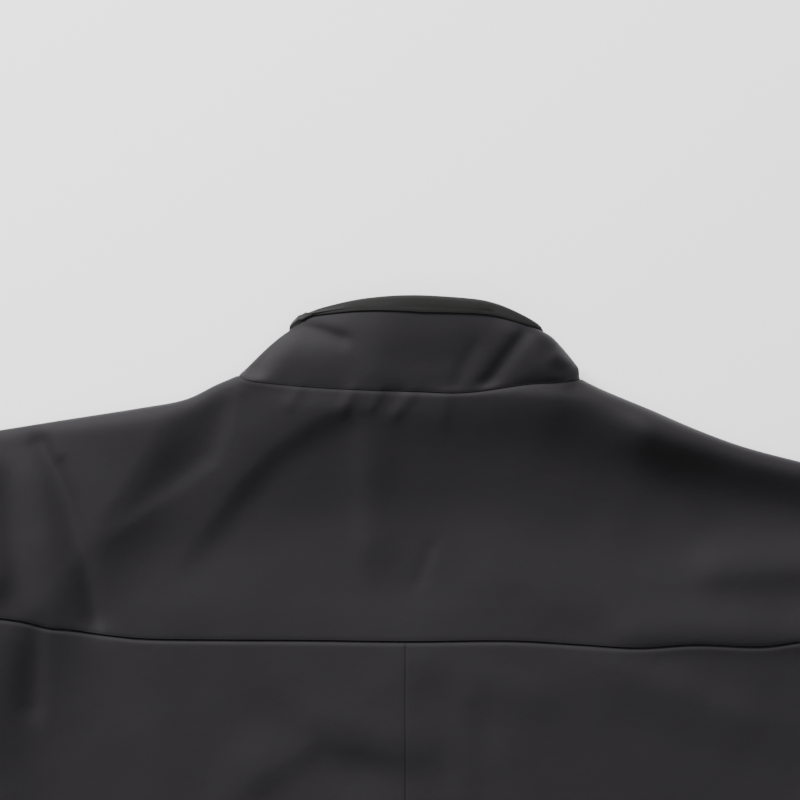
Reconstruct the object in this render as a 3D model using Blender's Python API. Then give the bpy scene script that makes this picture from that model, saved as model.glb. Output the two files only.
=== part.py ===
"""A soft-shell jacket with a stand collar, lying flat on its front with its back upwards.

Metres, +Z up. The collar points along +Y and the hem along -Y. The garment lies on z = 0.
Tables are in millimetres, measured from the middle of the back neck seam.
"""
import math

import bmesh
import bpy
import numpy as np

MM = 0.001

# Cloth
WALL = 1.5 * MM
FACING_WALL = 1.0 * MM
SEAM = 0.3 * MM

# How the cloth lies
LOFT = 6.0 * MM
EDGE_SWELL = 1.5 * MM
EDGE_REACH = 30.0 * MM
FOLD_SHARE = 0.45
ROLL_SHARE = 0.9
NECK_RISE = 18.0 * MM
NECK_REACH_DOWN = 0.120
NECK_REACH_ACROSS = 0.150

# Cut of the garment
BACK_LENGTH = 0.700
CHEST_HALF = 0.287
SHOULDER_HALF = 0.250
UNDERARM_DROP = 0.292
SLEEVE_LENGTH = 0.660
SLEEVE_ANGLE = math.radians(40)
CUFF_WIDTH = 0.115
# Bow of a sleeve's two folds away from straight: share of its length, metres outwards
SLEEVE_TOP_BOW = [(0.18, 0.018), (0.55, 0.012)]
SLEEVE_UNDER_BOW = [(0.25, -0.008), (0.6, 0.006)]
# Shoulder points below the back neck seam, left (-1) and right (1), as the garment lies
SHOULDER_DROP = {-1: 25, 1: 46}
COLLAR_TOP = 57.4 * MM
COLLAR_SEAM = 0.6 * MM
BAND_AT_BACK = 7.0 * MM
BAND_AT_FRONT = 3.0 * MM
# How far from the middle the band tapers, as a share of the back neck seam
BAND_REACH = 0.62

# Front zip
ZIP_HALF = 5.0 * MM
TAPE_HALF_THICK = 0.5 * MM
CHAIN_HALF = 2.8 * MM
CHAIN_HALF_THICK = 1.1 * MM
ZIP_HEIGHT = 1.3 * MM
SLIDER_AT = -38.0 * MM
SLIDER_LIFT = 3.6 * MM
LIFT_REACH = 90.0 * MM
SLIDER_HALF = 4.2 * MM
SLIDER_LENGTH = 11.0 * MM
SLIDER_LAP = 0.1 * MM
DIAMOND_HALF = 0.85 * MM
DIAMOND_LENGTH = 1.2 * MM
PLATE_NEAR = 1.4 * MM
PLATE_FAR = 2.4 * MM
FLANGE_NEAR = 3.3 * MM
FLANGE_GAP = 0.85 * MM
BRIDGE_HALF = 1.1 * MM
BRIDGE_LENGTH = 7.0 * MM
BRIDGE_UNDER = 3.7 * MM
BRIDGE_FAR = 4.5 * MM
POST_LENGTH = 1.4 * MM
PULL_LENGTH = 22.0 * MM
PULL_HALF = 3.0 * MM
PULL_WAIST_HALF = 2.4 * MM
PULL_WAIST_AT = 9.0 * MM
PULL_TIP_HALF = 1.8 * MM
PULL_TIP_LENGTH = 3.0 * MM
PULL_WINDOW_HALF = 1.9 * MM
PULL_WINDOW_LENGTH = 5.0 * MM
PULL_BAR = 0.7 * MM
PULL_DEPTH = 3.05 * MM

# The hem is the lowest point and the collar the highest, so this centres the part on y = 0
Y_SHIFT = (BACK_LENGTH - COLLAR_TOP) / 2

# Points worked out on each stretch of a smooth line
CURVE_STEPS = 24

# Where the rows and columns of points lie in each piece, as shares of its height or width
ROLL_ROWS = np.array([0, 0.8, 3.0, 8.0]) * MM
PANEL_WIDTH = 0.280
PANEL_ACROSS = np.concatenate([[0, 0.1, 0.22, 0.34, 0.46, 0.58, 0.7, 0.82, 0.92],
                               1 - ROLL_ROWS[::-1] / PANEL_WIDTH])
PANEL_UP = np.array([0, 0.12, 0.26, 0.4, 0.54, 0.68, 0.8, 0.9, 1])
BACK_UP = np.array([0, 0.02, 0.06, 0.14, 0.3, 0.48, 0.66, 0.83, 1])
FRONT_UP = np.array([0, 0.02, 0.06, 0.14, 0.3, 0.48, 0.74, 1])
FRONT_NECK_UP = np.array([0, 0.14, 0.28, 0.43, 0.58, 0.73, 0.87, 1])
# Share of a front's armhole that lies below the start of its neck edge
FRONT_SPLIT = 0.55
YOKE_SIDE_DEPTH = 0.118
YOKE_DOWN = np.array([0.068, 0.15, 0.26, 0.38, 0.5, 0.62, 0.74, 0.87, 1])
YOKE_ALONG_NECK = np.array([0, 0.03, 0.075, 0.13, 0.2, 0.28, 0.36, 0.44, 0.52, 0.6, 0.68,
                            0.76, 0.83, 0.89, 0.94, 0.975, 1])
SHOULDER_TURN = np.array([0.8, 3.0, 8.0, 13.0, 20.0]) * MM
SLEEVE_DOWN = np.array([0, 0.03, 0.1, 0.2, 0.31, 0.42, 0.53, 0.64, 0.76, 0.88, 1])
COLLAR_UP = (0, 0.12, 0.3, 0.52, 0.76)
# Least share of a fold's direction that crosses the armhole, where a sleeve starts
LEAST_CROSSING = 0.35

# Edge lines in millimetres, x measured outwards from the centre line
SHOULDER = {
    -1: [(97, 9), (110, 3.5), (128, -5), (155, -10), (200, -17), (250, -25)],
    1: [(102, 7), (115, 0.6), (143, -11), (170, -22.6), (201, -33.6), (250, -46)],
}
YOKE_SEAM = [(-245, -130), (-218, -135), (-185, -140), (-130, -144), (0, -145.5),
             (79, -146.5), (150, -148), (206, -147.5), (246, -144)]
NECK_SEAM = [(-97, 9), (-88, 5.5), (-58.6, 2.3), (-30, 0.6), (6.4, -0.6), (35, -1.2),
             (70, 3.5), (88, 4.6), (102, 7)]
ARMHOLE_LOWER = [(245, -137), (248, -180), (256, -220), (269, -258), (287, -292)]
SIDE_SEAM = [(287, -292), (281, -420), (276, -560), (273, -697)]
FRONT_ARMHOLE_MIDDLE = (246, -100)
FRONT_NECK = [(5, -78), (28, -76), (62, -62), (86, -36)]

# Rim of the collar from the left front over the back to the right front: x, y, z in millimetres
RIM = [(-5, -28, 3.6), (-18, -23, 3.6), (-38, -4, 4), (-53, 18, 5), (-60, 35, 8.5), (-62, 43, 15),
       (-56, 47, 23), (-40, 50.6, 31), (-20, 54, 36), (5, 55.3, 39), (36.5, 53.4, 39), (52, 50.5, 36),
       (65, 45, 29), (74, 39, 21), (78, 33, 14), (76.5, 25, 9), (69, 11, 5.5), (55, -6, 4),
       (36, -20, 3.8), (18, -26, 3.6), (5, -28, 3.6)]
RIM_LEFT_FOLD = 5
RIM_RIGHT_FOLD = 14

# Largest folds: a crest (or a trough, if the height is negative) from one point to another.
# x0, y0, x1, y1, softness on its left side, softness on its right side, height, in millimetres
FOLDS = {
    "right shoulder roll": (112, -14, 262, -64, 16, 30, 12),
    "left neck drag": (-108, -6, -196, -84, 34, 15, 8),
    "inner neck drag": (-92, -8, -112, -66, 16, 11, 4.5),
    "centre back step": (-20, -16, -20, -84, 16, 10, 2),
    "left armhole crease": (-216, -30, -187, -128, 9, 12, -3),
    "left armhole roll": (-206, -52, -200, -100, 14, 10, 2.5),
    "lower yoke rise": (60, -110, 190, -128, 26, 20, 2.5),
    "left panel arch": (-78, -182, -36, -158, 14, 18, 3),
    "right of the arch": (-36, -158, -3, -182, 18, 14, 2.5),
    "left panel hollow": (-62, -202, -30, -214, 16, 22, -2),
    "left side drag": (-236, -250, -150, -330, 16, 24, 3.5),
    "right side drag": (240, -262, 168, -360, 22, 16, 3.5),
    "left waist fold": (-225, -470, -120, -430, 18, 24, 3),
    "right waist fold": (205, -500, 96, -452, 22, 16, 3),
    "left hem wave": (-150, -690, -138, -590, 22, 26, 2.5),
    "right hem wave": (118, -690, 132, -570, 24, 20, 2.5),
    "left sleeve head": (-270, -120, -400, -205, 20, 30, 5),
    "left elbow": (-470, -330, -392, -392, 14, 20, 5),
    "left forearm": (-560, -430, -500, -500, 12, 18, 3.5),
    "right sleeve head": (272, -140, 392, -236, 30, 20, 5),
    "right elbow": (462, -352, 388, -400, 20, 14, 5),
    "right forearm": (548, -452, 500, -520, 18, 12, 3.5),
}

CLOTH = {"color": (0.038, 0.035, 0.040, 1), "roughness": 0.78, "metallic": 0.0}
INNER_CLOTH = {"color": (0.031, 0.033, 0.031, 1), "roughness": 0.85, "metallic": 0.0}
TAPE = {"color": (0.012, 0.012, 0.013, 1), "roughness": 0.7, "metallic": 0.0}
STEEL = {"color": (0.12, 0.12, 0.13, 1), "roughness": 0.35, "metallic": 1.0}


def clear_scene():
    """Start from an empty scene."""
    for item in list(bpy.data.objects):
        bpy.data.objects.remove(item, do_unlink=True)


def material(name, finish):
    """A plain material in one of the finishes above."""
    made = bpy.data.materials.new(name)
    made.use_nodes = True
    shader = made.node_tree.nodes["Principled BSDF"]
    shader.inputs["Base Color"].default_value = finish["color"]
    shader.inputs["Roughness"].default_value = finish["roughness"]
    shader.inputs["Metallic"].default_value = finish["metallic"]
    return made


def curve_through(points):
    """Many points on a smooth curve through the given ones, CURVE_STEPS to each stretch."""
    knots = np.array(points, dtype=float)
    padded = np.vstack([2 * knots[0] - knots[1], knots, 2 * knots[-1] - knots[-2]])
    dense = []
    for i in range(1, len(padded) - 2):
        p0, p1, p2, p3 = padded[i - 1:i + 3]
        for t in np.linspace(0, 1, CURVE_STEPS, endpoint=False):
            dense.append(0.5 * (2 * p1 + (p2 - p0) * t + (2 * p0 - 5 * p1 + 4 * p2 - p3) * t ** 2
                                + (3 * p1 - p0 - 3 * p2 + p3) * t ** 3))
    return np.array(dense + [knots[-1]])


def smooth_line(points, count=None, at=None):
    """Points on a smooth curve, even along its length or at the given shares of it."""
    dense = curve_through(points)
    shares = np.linspace(0, 1, count) if at is None else np.asarray(at)
    along = shares_along(dense)
    return np.stack([np.interp(shares, along, column) for column in dense.T], axis=1)


def knot_shares(points):
    """How far along the smooth line through some points each of them is, from 0 to 1."""
    return shares_along(curve_through(points))[::CURVE_STEPS]


def shares_along(points):
    """How far along a line each of its points is, from 0 to 1."""
    along = np.concatenate([[0], np.cumsum(np.linalg.norm(np.diff(points, axis=0), axis=1))])
    return along / along[-1]


def sided(points, side):
    """A table in millimetres as metres, turned to the left (-1) or right (1) side."""
    return np.array([(side * x * MM, y * MM) for x, y in points])


def sleeve_corners(side):
    """Outer and inner corner of a cuff."""
    along = np.array([side * math.cos(SLEEVE_ANGLE), -math.sin(SLEEVE_ANGLE)])
    across = np.array([-side * math.sin(SLEEVE_ANGLE), -math.cos(SLEEVE_ANGLE)])
    shoulder = np.array([side * SHOULDER_HALF, -SHOULDER_DROP[side] * MM])
    outer = shoulder + SLEEVE_LENGTH * along
    return outer, outer + CUFF_WIDTH * across


def sleeve_edges(side):
    """The folded top edge and the folded under edge of a sleeve, as smooth lines."""
    outer, inner = sleeve_corners(side)
    shoulder = np.array([side * SHOULDER_HALF, -SHOULDER_DROP[side] * MM])
    underarm = np.array([side * CHEST_HALF, -UNDERARM_DROP])
    bulge = np.array([side * math.sin(SLEEVE_ANGLE), math.cos(SLEEVE_ANGLE)])
    folds = []
    for start, end, bow in ((shoulder, outer, SLEEVE_TOP_BOW), (underarm, inner, SLEEVE_UNDER_BOW)):
        bowed = [start + share * (end - start) + out * bulge for share, out in bow]
        folds.append([start] + bowed + [end])
    return folds


def joined(*stretches):
    """Several rows of shares or points end to end, without the repeated meeting points."""
    return np.concatenate([stretches[0]] + [stretch[1:] for stretch in stretches[1:]])


def fold_lines():
    """Every folded edge as short straight pieces: starts, ends, and the way in at each end."""
    pieces = []
    for side in (-1, 1):
        top, under = sleeve_edges(side)
        upper_edge = joined(smooth_line(sided(SHOULDER[side], side), 28), smooth_line(top, 28))
        under_edge = joined(smooth_line(under, 28)[::-1], smooth_line(sided(SIDE_SEAM, side), 28))
        for line, turn in ((upper_edge, side), (under_edge, side)):
            run = np.diff(line, axis=0)
            run /= np.linalg.norm(run, axis=1, keepdims=True)
            way_in = np.stack([run[:, 1], -run[:, 0]], axis=1) * turn
            at_points = np.vstack([way_in[:1], way_in[1:] + way_in[:-1], way_in[-1:]])
            at_points /= np.linalg.norm(at_points, axis=1, keepdims=True)
            pieces.append(np.hstack([line[:-1], line[1:], at_points[:-1], at_points[1:]]))
    return np.vstack(pieces)


FOLD_PIECES = fold_lines()


def from_edge(x, y):
    """Distance of each point in from the nearest folded edge, and the way in from there."""
    starts, ends, way_start, way_end = np.split(FOLD_PIECES, 4, axis=1)
    points = np.stack([x, y], axis=-1)[..., None, :]
    run = ends - starts
    share = np.clip(np.sum((points - starts) * run, axis=-1) / np.sum(run * run, axis=-1), 0, 1)
    offset = points - (starts + share[..., None] * run)
    pick = np.linalg.norm(offset, axis=-1).argmin(axis=-1)[..., None]
    offset = np.take_along_axis(offset, pick[..., None], axis=-2)[..., 0, :]
    share = np.take_along_axis(share, pick, axis=-1)
    way = (1 - share) * way_start[pick[..., 0]] + share * way_end[pick[..., 0]]
    way /= np.linalg.norm(way, axis=-1, keepdims=True)
    inside = np.sum(offset * way, axis=-1) > 0
    away = np.where(inside, np.linalg.norm(offset, axis=-1), 0)
    clear = (away > 0.05 * MM)[..., None]
    way = np.where(clear, offset / np.maximum(away, 1e-9)[..., None], way)
    return away, way


def fold_height(x, y, fold):
    """Height that one fold adds: a soft crest with its own softness on each side."""
    x0, y0, x1, y1, left, right, height = [value * MM for value in fold]
    run = np.array([x1 - x0, y1 - y0])
    length = np.linalg.norm(run)
    along = ((x - x0) * run[0] + (y - y0) * run[1]) / length
    across = ((x - x0) * run[1] - (y - y0) * run[0]) / length
    softness = np.where(across < 0, left, right)
    beyond = np.maximum(0, np.maximum(-along, along - length)) / (1.2 * max(left, right))
    return height * np.exp(-(across / softness) ** 2 - beyond ** 2)


def cloth_height(x, y):
    """Height of the upper layer's outer face over the surface, before the edges roll down."""
    away = from_edge(x, y)[0]
    height = LOFT + EDGE_SWELL * np.exp(-(away / EDGE_REACH) ** 2)
    rise = np.clip(1 + y / NECK_REACH_DOWN, 0, None) ** 1.5
    height = height + NECK_RISE * rise * np.exp(-np.abs(x / NECK_REACH_ACROSS) ** 3)
    for fold in FOLDS.values():
        height = height + fold_height(x, y, fold)
    return np.maximum(height, LOFT * 0.8)


def slider_lift(x, y):
    """How far the slider under the collar holds the front off the surface."""
    def window(distance):
        return np.cos(np.pi / 2 * np.clip(np.abs(distance) / LIFT_REACH, 0, 1)) ** 2
    return SLIDER_LIFT * window(x) * window(y - SLIDER_AT)


def slope(height, x, y):
    """Slope of a height over the plan, along x and y."""
    step = 0.5 * MM
    return np.stack([height(x + step, y) - height(x - step, y),
                     height(x, y + step) - height(x, y - step)], axis=-1) / (2 * step)


def on_layer(plan, upper):
    """Outer and inner face of the upper or lower layer of cloth at places in plan."""
    x, y = plan[..., 0], plan[..., 1]
    height = cloth_height(x, y)
    away, way_in = from_edge(x, y)
    near = 1 - np.minimum(away / (ROLL_SHARE * height), 1)
    turn = np.sqrt(1 - near ** 2)
    if upper:
        z = height * (FOLD_SHARE + (1 - FOLD_SHARE) * turn)
        flat = -(turn * z / height)[..., None] * slope(cloth_height, x, y)
        flat = flat - ((1 - FOLD_SHARE) / ROLL_SHARE * near)[..., None] * way_in
        normal = np.concatenate([flat, turn[..., None]], axis=-1)
    else:
        z = FOLD_SHARE * height * (1 - turn) + slider_lift(x, y)
        flat = turn[..., None] * slope(slider_lift, x, y)
        flat = flat - (FOLD_SHARE / ROLL_SHARE * near)[..., None] * way_in
        normal = np.concatenate([flat, -turn[..., None]], axis=-1)
    normal /= np.linalg.norm(normal, axis=-1, keepdims=True)
    outer = np.stack([x, y, z], axis=-1)
    return outer, outer - normal * WALL


def patch(bottom, top, left, right, across, up):
    """Plan points inside four edge lines. Each line is given at the shares `across` or `up`."""
    u = np.asarray(across)[None, :, None]
    v = np.asarray(up)[:, None, None]
    ruled = (1 - v) * bottom[None] + v * top[None] + (1 - u) * left[:, None] + u * right[:, None]
    corners = ((1 - u) * (1 - v) * bottom[0] + u * (1 - v) * bottom[-1]
               + (1 - u) * v * top[0] + u * v * top[-1])
    return ruled - corners


def grid_faces(used, closed):
    """Quads between neighbouring grid points that are all in use."""
    rows, columns = used.shape
    faces = []
    for i in range(rows - 1):
        for j in range(columns if closed else columns - 1):
            k = (j + 1) % columns
            if used[i, j] and used[i, k] and used[i + 1, k] and used[i + 1, j]:
                faces.append((i * columns + j, i * columns + k,
                              (i + 1) * columns + k, (i + 1) * columns + j))
    return faces


def grid_normals(grid):
    """Unit normals of the points of an open grid, from the faces around them."""
    points = grid.reshape(-1, 3)
    normals = np.zeros_like(points)
    for face in grid_faces(np.ones(grid.shape[:2], bool), False):
        a, b, c, d = points[list(face)]
        normals[list(face)] += np.cross(c - a, d - b)
    normals /= np.linalg.norm(normals, axis=1, keepdims=True)
    return normals.reshape(grid.shape)


def wall(name, faces_of_cloth, finish, used=None, closed=False, flip=False, turned_row=None):
    """A closed wall of cloth between the grid of its outer face and the grid of its inner face.

    flip turns the outer face to the other side of the grid. From turned_row on, the quads are cut
    into triangles along their other diagonal.
    """
    outer, inner = faces_of_cloth
    present = np.ones(outer.shape[:2], bool) if used is None else used
    quads = grid_faces(present, closed)
    keep = sorted({index for quad in quads for index in quad})
    place = {index: count for count, index in enumerate(keep)}
    shift = len(keep)
    shell = []
    for quad in quads:
        a, b, c, d = [place[index] for index in quad]
        turned = turned_row is not None and quad[0] >= turned_row * present.shape[1]
        shell += [(a, b, d), (b, c, d)] if turned else [(a, b, c), (a, c, d)]
    if flip:
        shell = [face[::-1] for face in shell]
    lining = [tuple(index + shift for index in reversed(face)) for face in shell]
    sides = {(face[i], face[(i + 1) % 3]) for face in shell for i in range(3)}
    rims = []
    for a, b in sorted(sides):
        if (b, a) not in sides:
            rims += [(b, a, a + shift), (b, a + shift, b + shift)]
    verts = np.vstack([outer.reshape(-1, 3)[keep], inner.reshape(-1, 3)[keep]])
    return solid(name, verts, shell + lining + rims, finish)


def solid(name, verts, faces, finish):
    """A named object from points in the garment's own plan, moved to the part's frame."""
    mesh = bpy.data.meshes.new(name)
    mesh.from_pydata([(x, y + Y_SHIFT, z) for x, y, z in verts], [], faces)
    mesh.materials.append(finish)
    mesh.shade_smooth()
    mesh.set_sharp_from_angle(angle=math.radians(40))
    made = bpy.data.objects.new(name, mesh)
    bpy.context.scene.collection.objects.link(made)
    return made


def yoke_plan():
    """Plan points of the yoke's upper layer, rows from the yoke seam up and columns from the left."""
    left = shoulder_points(-1)[::-1]
    neck = smooth_line(np.array(NECK_SEAM) * MM, at=YOKE_ALONG_NECK)
    right = shoulder_points(1)
    top = joined(left, neck, right)
    across = (top[:, 0] - top[0, 0]) / (top[-1, 0] - top[0, 0])
    seam = smooth_line(np.array(YOKE_SEAM) * MM, 200)
    seam_x = seam[0, 0] + across * (seam[-1, 0] - seam[0, 0])
    bottom = np.stack([seam_x, np.interp(seam_x, seam[:, 0], seam[:, 1])], axis=1)
    up = 1 - joined(ROLL_ROWS / YOKE_SIDE_DEPTH, YOKE_DOWN)[::-1]
    edges = [np.outer(1 - up, bottom[i]) + np.outer(up, top[i]) for i in (0, -1)]
    plan = patch(bottom, top, edges[0], edges[1], across, up)
    in_neck = slice(len(left) - 1, len(left) + len(neck) - 1)
    return plan, in_neck


def shoulder_points(side):
    """Points along the shoulder's folded edge, from the neck out, at the columns of a front."""
    line = smooth_line(sided(SHOULDER[side], side), 200)
    reach = np.abs(line[:, 0])
    wanted = reach[0] + PANEL_ACROSS * (reach[-1] - reach[0])
    return np.stack([side * wanted, np.interp(wanted, reach, line[:, 1])], axis=1)


def yoke_grid():
    """The yoke: its upper layer, and the stretch that turns over each shoulder to the forward seam."""
    plan, in_neck = yoke_plan()
    upper = on_layer(plan, True)
    drops = np.stack([0 * SHOULDER_TURN, SHOULDER_TURN], axis=1)
    turned = on_layer(plan[-1][None] - drops[:, None], False)
    faces = [np.concatenate(pair) for pair in zip(upper, turned)]
    used = np.ones(faces[0].shape[:2], bool)
    used[len(plan):, in_neck.start + 1:in_neck.stop - 1] = False
    return faces, used, in_neck, len(plan)


def panel(side, centre_x, top_row, centre_high, armhole, upper, rows_above):
    """A back or front panel: up its side seam to the underarm, then up its armhole to the top row."""
    side_line = smooth_line(sided(SIDE_SEAM, side)[::-1], at=PANEL_UP)
    centre_low = np.stack([np.full(len(PANEL_UP), side * centre_x),
                           np.linspace(-BACK_LENGTH, -UNDERARM_DROP, len(PANEL_UP))], axis=1)
    share = PANEL_ACROSS[:, None]
    hem = (1 - share) * centre_low[0] + share * side_line[0]
    chest = (1 - share) * centre_low[-1] + share * side_line[-1]
    low = patch(hem, chest, centre_low, side_line, PANEL_ACROSS, PANEL_UP)
    high = patch(chest, top_row, centre_high, armhole, PANEL_ACROSS, rows_above)
    faces = on_layer(np.concatenate([low, high[1:]]), upper)
    for face in faces:
        face[:len(low), -1, 2] += SEAM / 2 if upper else -SEAM / 2
    return faces, len(low) - 1


def back_panel(side):
    """One half of the back below the yoke."""
    seam = smooth_line(np.array(YOKE_SEAM) * MM, 300) - np.array([0, SEAM])
    armhole = smooth_line(sided(ARMHOLE_LOWER, side)[::-1], at=BACK_UP)
    armhole[-1, 1] = np.interp(armhole[-1, 0], seam[:, 0], seam[:, 1])
    centre_x = SEAM / 2
    centre_top = np.interp(0, seam[:, 0], seam[:, 1])
    centre = np.stack([np.full(len(BACK_UP), side * centre_x),
                       -UNDERARM_DROP + BACK_UP * (centre_top + UNDERARM_DROP)], axis=1)
    x = side * centre_x + PANEL_ACROSS * (armhole[-1, 0] - side * centre_x)
    top_row = np.stack([x, np.interp(x, seam[:, 0], seam[:, 1])], axis=1)
    return panel(side, centre_x, top_row, centre, armhole, True, BACK_UP)


def front_panel(side):
    """One front, from the zip to the side seam and up to the forward shoulder seam."""
    drop = np.array([0, SHOULDER_TURN[-1] + SEAM])
    top_row = shoulder_points(side) - drop
    neck_end = (side * top_row[0, 0] / MM, top_row[0, 1] / MM)
    neck = smooth_line(sided(FRONT_NECK + [neck_end], side), at=FRONT_NECK_UP)
    arm_end = (side * top_row[-1, 0] / MM, top_row[-1, 1] / MM)
    arm_line = smooth_line(sided(ARMHOLE_LOWER[::-1] + [FRONT_ARMHOLE_MIDDLE, arm_end], side), 400)
    shares = joined(FRONT_UP * FRONT_SPLIT, FRONT_SPLIT + FRONT_NECK_UP * (1 - FRONT_SPLIT))
    whole = np.linspace(0, 1, len(arm_line))
    armhole = np.stack([np.interp(shares, whole, arm_line[:, i]) for i in (0, 1)], axis=1)
    centre_low = np.stack([np.full(len(FRONT_UP), side * ZIP_HALF),
                           -UNDERARM_DROP + FRONT_UP * (UNDERARM_DROP + neck[0, 1])], axis=1)
    faces, underarm = panel(side, ZIP_HALF, top_row, joined(centre_low, neck), armhole, False, shares)
    return faces, underarm, underarm + len(FRONT_UP) - 1


def sleeve(side, ring_upper, ring_lower, finish):
    """A sleeve: a flattened tube whose first ring follows the edges of the panels at the armhole."""
    top_edge, under_edge = sleeve_edges(side)
    outer, inner = sleeve_corners(side)
    top = smooth_line(top_edge, at=SLEEVE_DOWN)
    under = smooth_line(under_edge, at=SLEEVE_DOWN)
    layers = []
    for ring, upper in ((ring_upper, True), (ring_lower, False)):
        near = beside_armhole(ring[:, :2], side, top[1] - top[0], under[1] - under[0])
        across = shares_along(near)
        far = (1 - across)[:, None] * outer + across[:, None] * inner
        edge_top = np.vstack([near[:1], top[1:]])
        edge_under = np.vstack([near[-1:], under[1:]])
        plan = patch(near, far, edge_top, edge_under, across, SLEEVE_DOWN)
        layers.append(on_layer(plan, upper))
    faces = [np.concatenate([high, low[:, -2:0:-1]], axis=1) for high, low in zip(*layers)]
    name = "sleeve_left" if side < 0 else "sleeve_right"
    return wall(name, faces, finish, closed=True, flip=side < 0)


def beside_armhole(ring, side, top_way, under_way):
    """The armhole's edge moved a seam's width towards the sleeve, along the folds at its two ends."""
    run = np.gradient(ring, axis=0)
    run /= np.linalg.norm(run, axis=1, keepdims=True)
    out = np.stack([run[:, 1], -run[:, 0]], axis=1)
    out *= np.sign(out[:, :1]) * side
    moved = ring + out * SEAM
    for end, way in ((0, top_way), (-1, under_way)):
        way = way / np.linalg.norm(way)
        apart = max(abs(float(way @ out[end])), LEAST_CROSSING)
        moved[end] = ring[end] + way * SEAM / apart
    return moved


def neck_edge(yoke, in_neck, top_rows, fronts):
    """Outer and inner points of the neck edge: left front, back and right front, from zip to zip."""
    stretches = []
    for face in (0, 1):
        left_turn = yoke[face][top_rows + 1:-1, in_neck.start][::-1]
        right_turn = yoke[face][top_rows + 1:-1, in_neck.stop - 1]
        back = yoke[face][top_rows - 1, in_neck]
        stretches.append((np.vstack([fronts[-1][face], left_turn]), back,
                          np.vstack([right_turn, fronts[1][face][::-1]])))
    return stretches


def collar_grid(edge):
    """Outer face of the collar, rows from the neck seam to the rim, and the normals of its points.

    Its last three rows are the lower edge and the middle of the band over the rim, and the rim.
    """
    (left, back, right), inner = edge
    knots = knot_shares(RIM)
    first, last = knots[RIM_LEFT_FOLD], knots[RIM_RIGHT_FOLD]
    left_shares = shares_along(np.vstack([left, back[:1]]))[:-1] * first
    back_shares = first + shares_along(back) * (last - first)
    right_shares = last + shares_along(np.vstack([back[-1:], right]))[1:] * (1 - last)
    rim = smooth_line(np.array(RIM) * MM, at=np.concatenate([left_shares, back_shares, right_shares]))
    base = np.vstack([left, back, right])
    base_normals = base - np.vstack(inner)
    base_normals /= np.linalg.norm(base_normals, axis=1, keepdims=True)
    run = np.gradient(base, axis=0)
    towards = np.cross(run, base_normals)
    towards /= np.linalg.norm(towards, axis=1, keepdims=True)
    towards *= np.sign(np.sum(towards * (rim - base), axis=1, keepdims=True))
    base = base + towards * COLLAR_SEAM
    reach = np.linalg.norm(rim - base, axis=1)
    band = band_depths(len(base), len(left), len(back)) / reach
    shares = [np.full(len(base), up) for up in COLLAR_UP] + [1 - band, 1 - band / 2, 1 + 0 * band]
    grid = np.array([base + share[:, None] * (rim - base) for share in shares])
    normals = grid_normals(grid)
    up = (rim - base) / reach[:, None]
    normals -= up * np.sum(normals * up, axis=-1, keepdims=True)
    normals /= np.linalg.norm(normals, axis=-1, keepdims=True)
    normals[0] += base_normals
    normals[0] /= np.linalg.norm(normals[0], axis=1, keepdims=True)
    return grid, normals


def band_depths(columns, left_count, back_count):
    """How far the inner cloth comes down over the outside, for each column round the collar."""
    middle = left_count + (back_count - 1) / 2
    near = np.clip(1 - np.abs(np.arange(columns) - middle) / (BAND_REACH * back_count), 0, 1)
    return BAND_AT_FRONT + (BAND_AT_BACK - BAND_AT_FRONT) * np.sqrt(near)


def facing_faces(grid, normals):
    """The inner collar: up the inside, over the rim, and down the outside as a narrow band."""
    rim, normal = grid[-1], normals[-1]
    up = rim - grid[-2]
    up /= np.linalg.norm(up, axis=1, keepdims=True)
    faces = []
    for extra in (FACING_WALL, 0):
        lines = list(grid[:-1] - normals[:-1] * (WALL + SEAM + extra))
        radius = WALL / 2 + SEAM + extra
        for angle in np.radians([0, 45, 90, 135, 180]):
            depth = radius * math.cos(angle) + WALL / 2
            lines.append(rim - normal * depth + up * radius * math.sin(angle))
        lines += [grid[i] + normals[i] * (SEAM + extra) for i in (-2, -3)]
        faces.append(np.array(lines))
    return faces


def prism_along_zip(name, outline, stations, finish):
    """A strip with a constant outline in x and z that follows the height of the zip."""
    count = len(outline)
    verts = []
    for y in stations:
        middle = ZIP_HEIGHT + float(slider_lift(np.array(0.0), np.array(y)))
        verts += [(x, y, middle + z) for x, z in outline]
    faces = [tuple(reversed(range(count))), tuple(range(len(verts) - count, len(verts)))]
    for i in range(len(stations) - 1):
        for j in range(count):
            k = (j + 1) % count
            faces.append((i * count + j, i * count + k, (i + 1) * count + k, (i + 1) * count + j))
    return solid(name, verts, faces, finish)


def front_zip(finish):
    """Tapes and closed chain between the front edges."""
    tape = ZIP_HALF - SEAM
    outside = [(-tape, -TAPE_HALF_THICK), (-CHAIN_HALF, -TAPE_HALF_THICK),
               (-CHAIN_HALF, -CHAIN_HALF_THICK), (CHAIN_HALF, -CHAIN_HALF_THICK),
               (CHAIN_HALF, -TAPE_HALF_THICK), (tape, -TAPE_HALF_THICK)]
    outline = outside + [(-x, -z) for x, z in outside]
    top = SLIDER_AT + SLIDER_LENGTH / 2 - DIAMOND_LENGTH - SEAM
    near = np.linspace(top, SLIDER_AT - LIFT_REACH, 13)
    far = np.linspace(SLIDER_AT - LIFT_REACH, -BACK_LENGTH, 5)[1:]
    return prism_along_zip("front_zip", outline, [float(y) for y in np.append(near, far)], finish)


def add_box(shape, low, high):
    """A box between two corners, added to a bmesh."""
    made = bmesh.ops.create_cube(shape, size=1.0)
    size = [high[i] - low[i] for i in range(3)]
    middle = [(high[i] + low[i]) / 2 for i in range(3)]
    bmesh.ops.scale(shape, vec=size, verts=made["verts"])
    bmesh.ops.translate(shape, vec=middle, verts=made["verts"])


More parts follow.
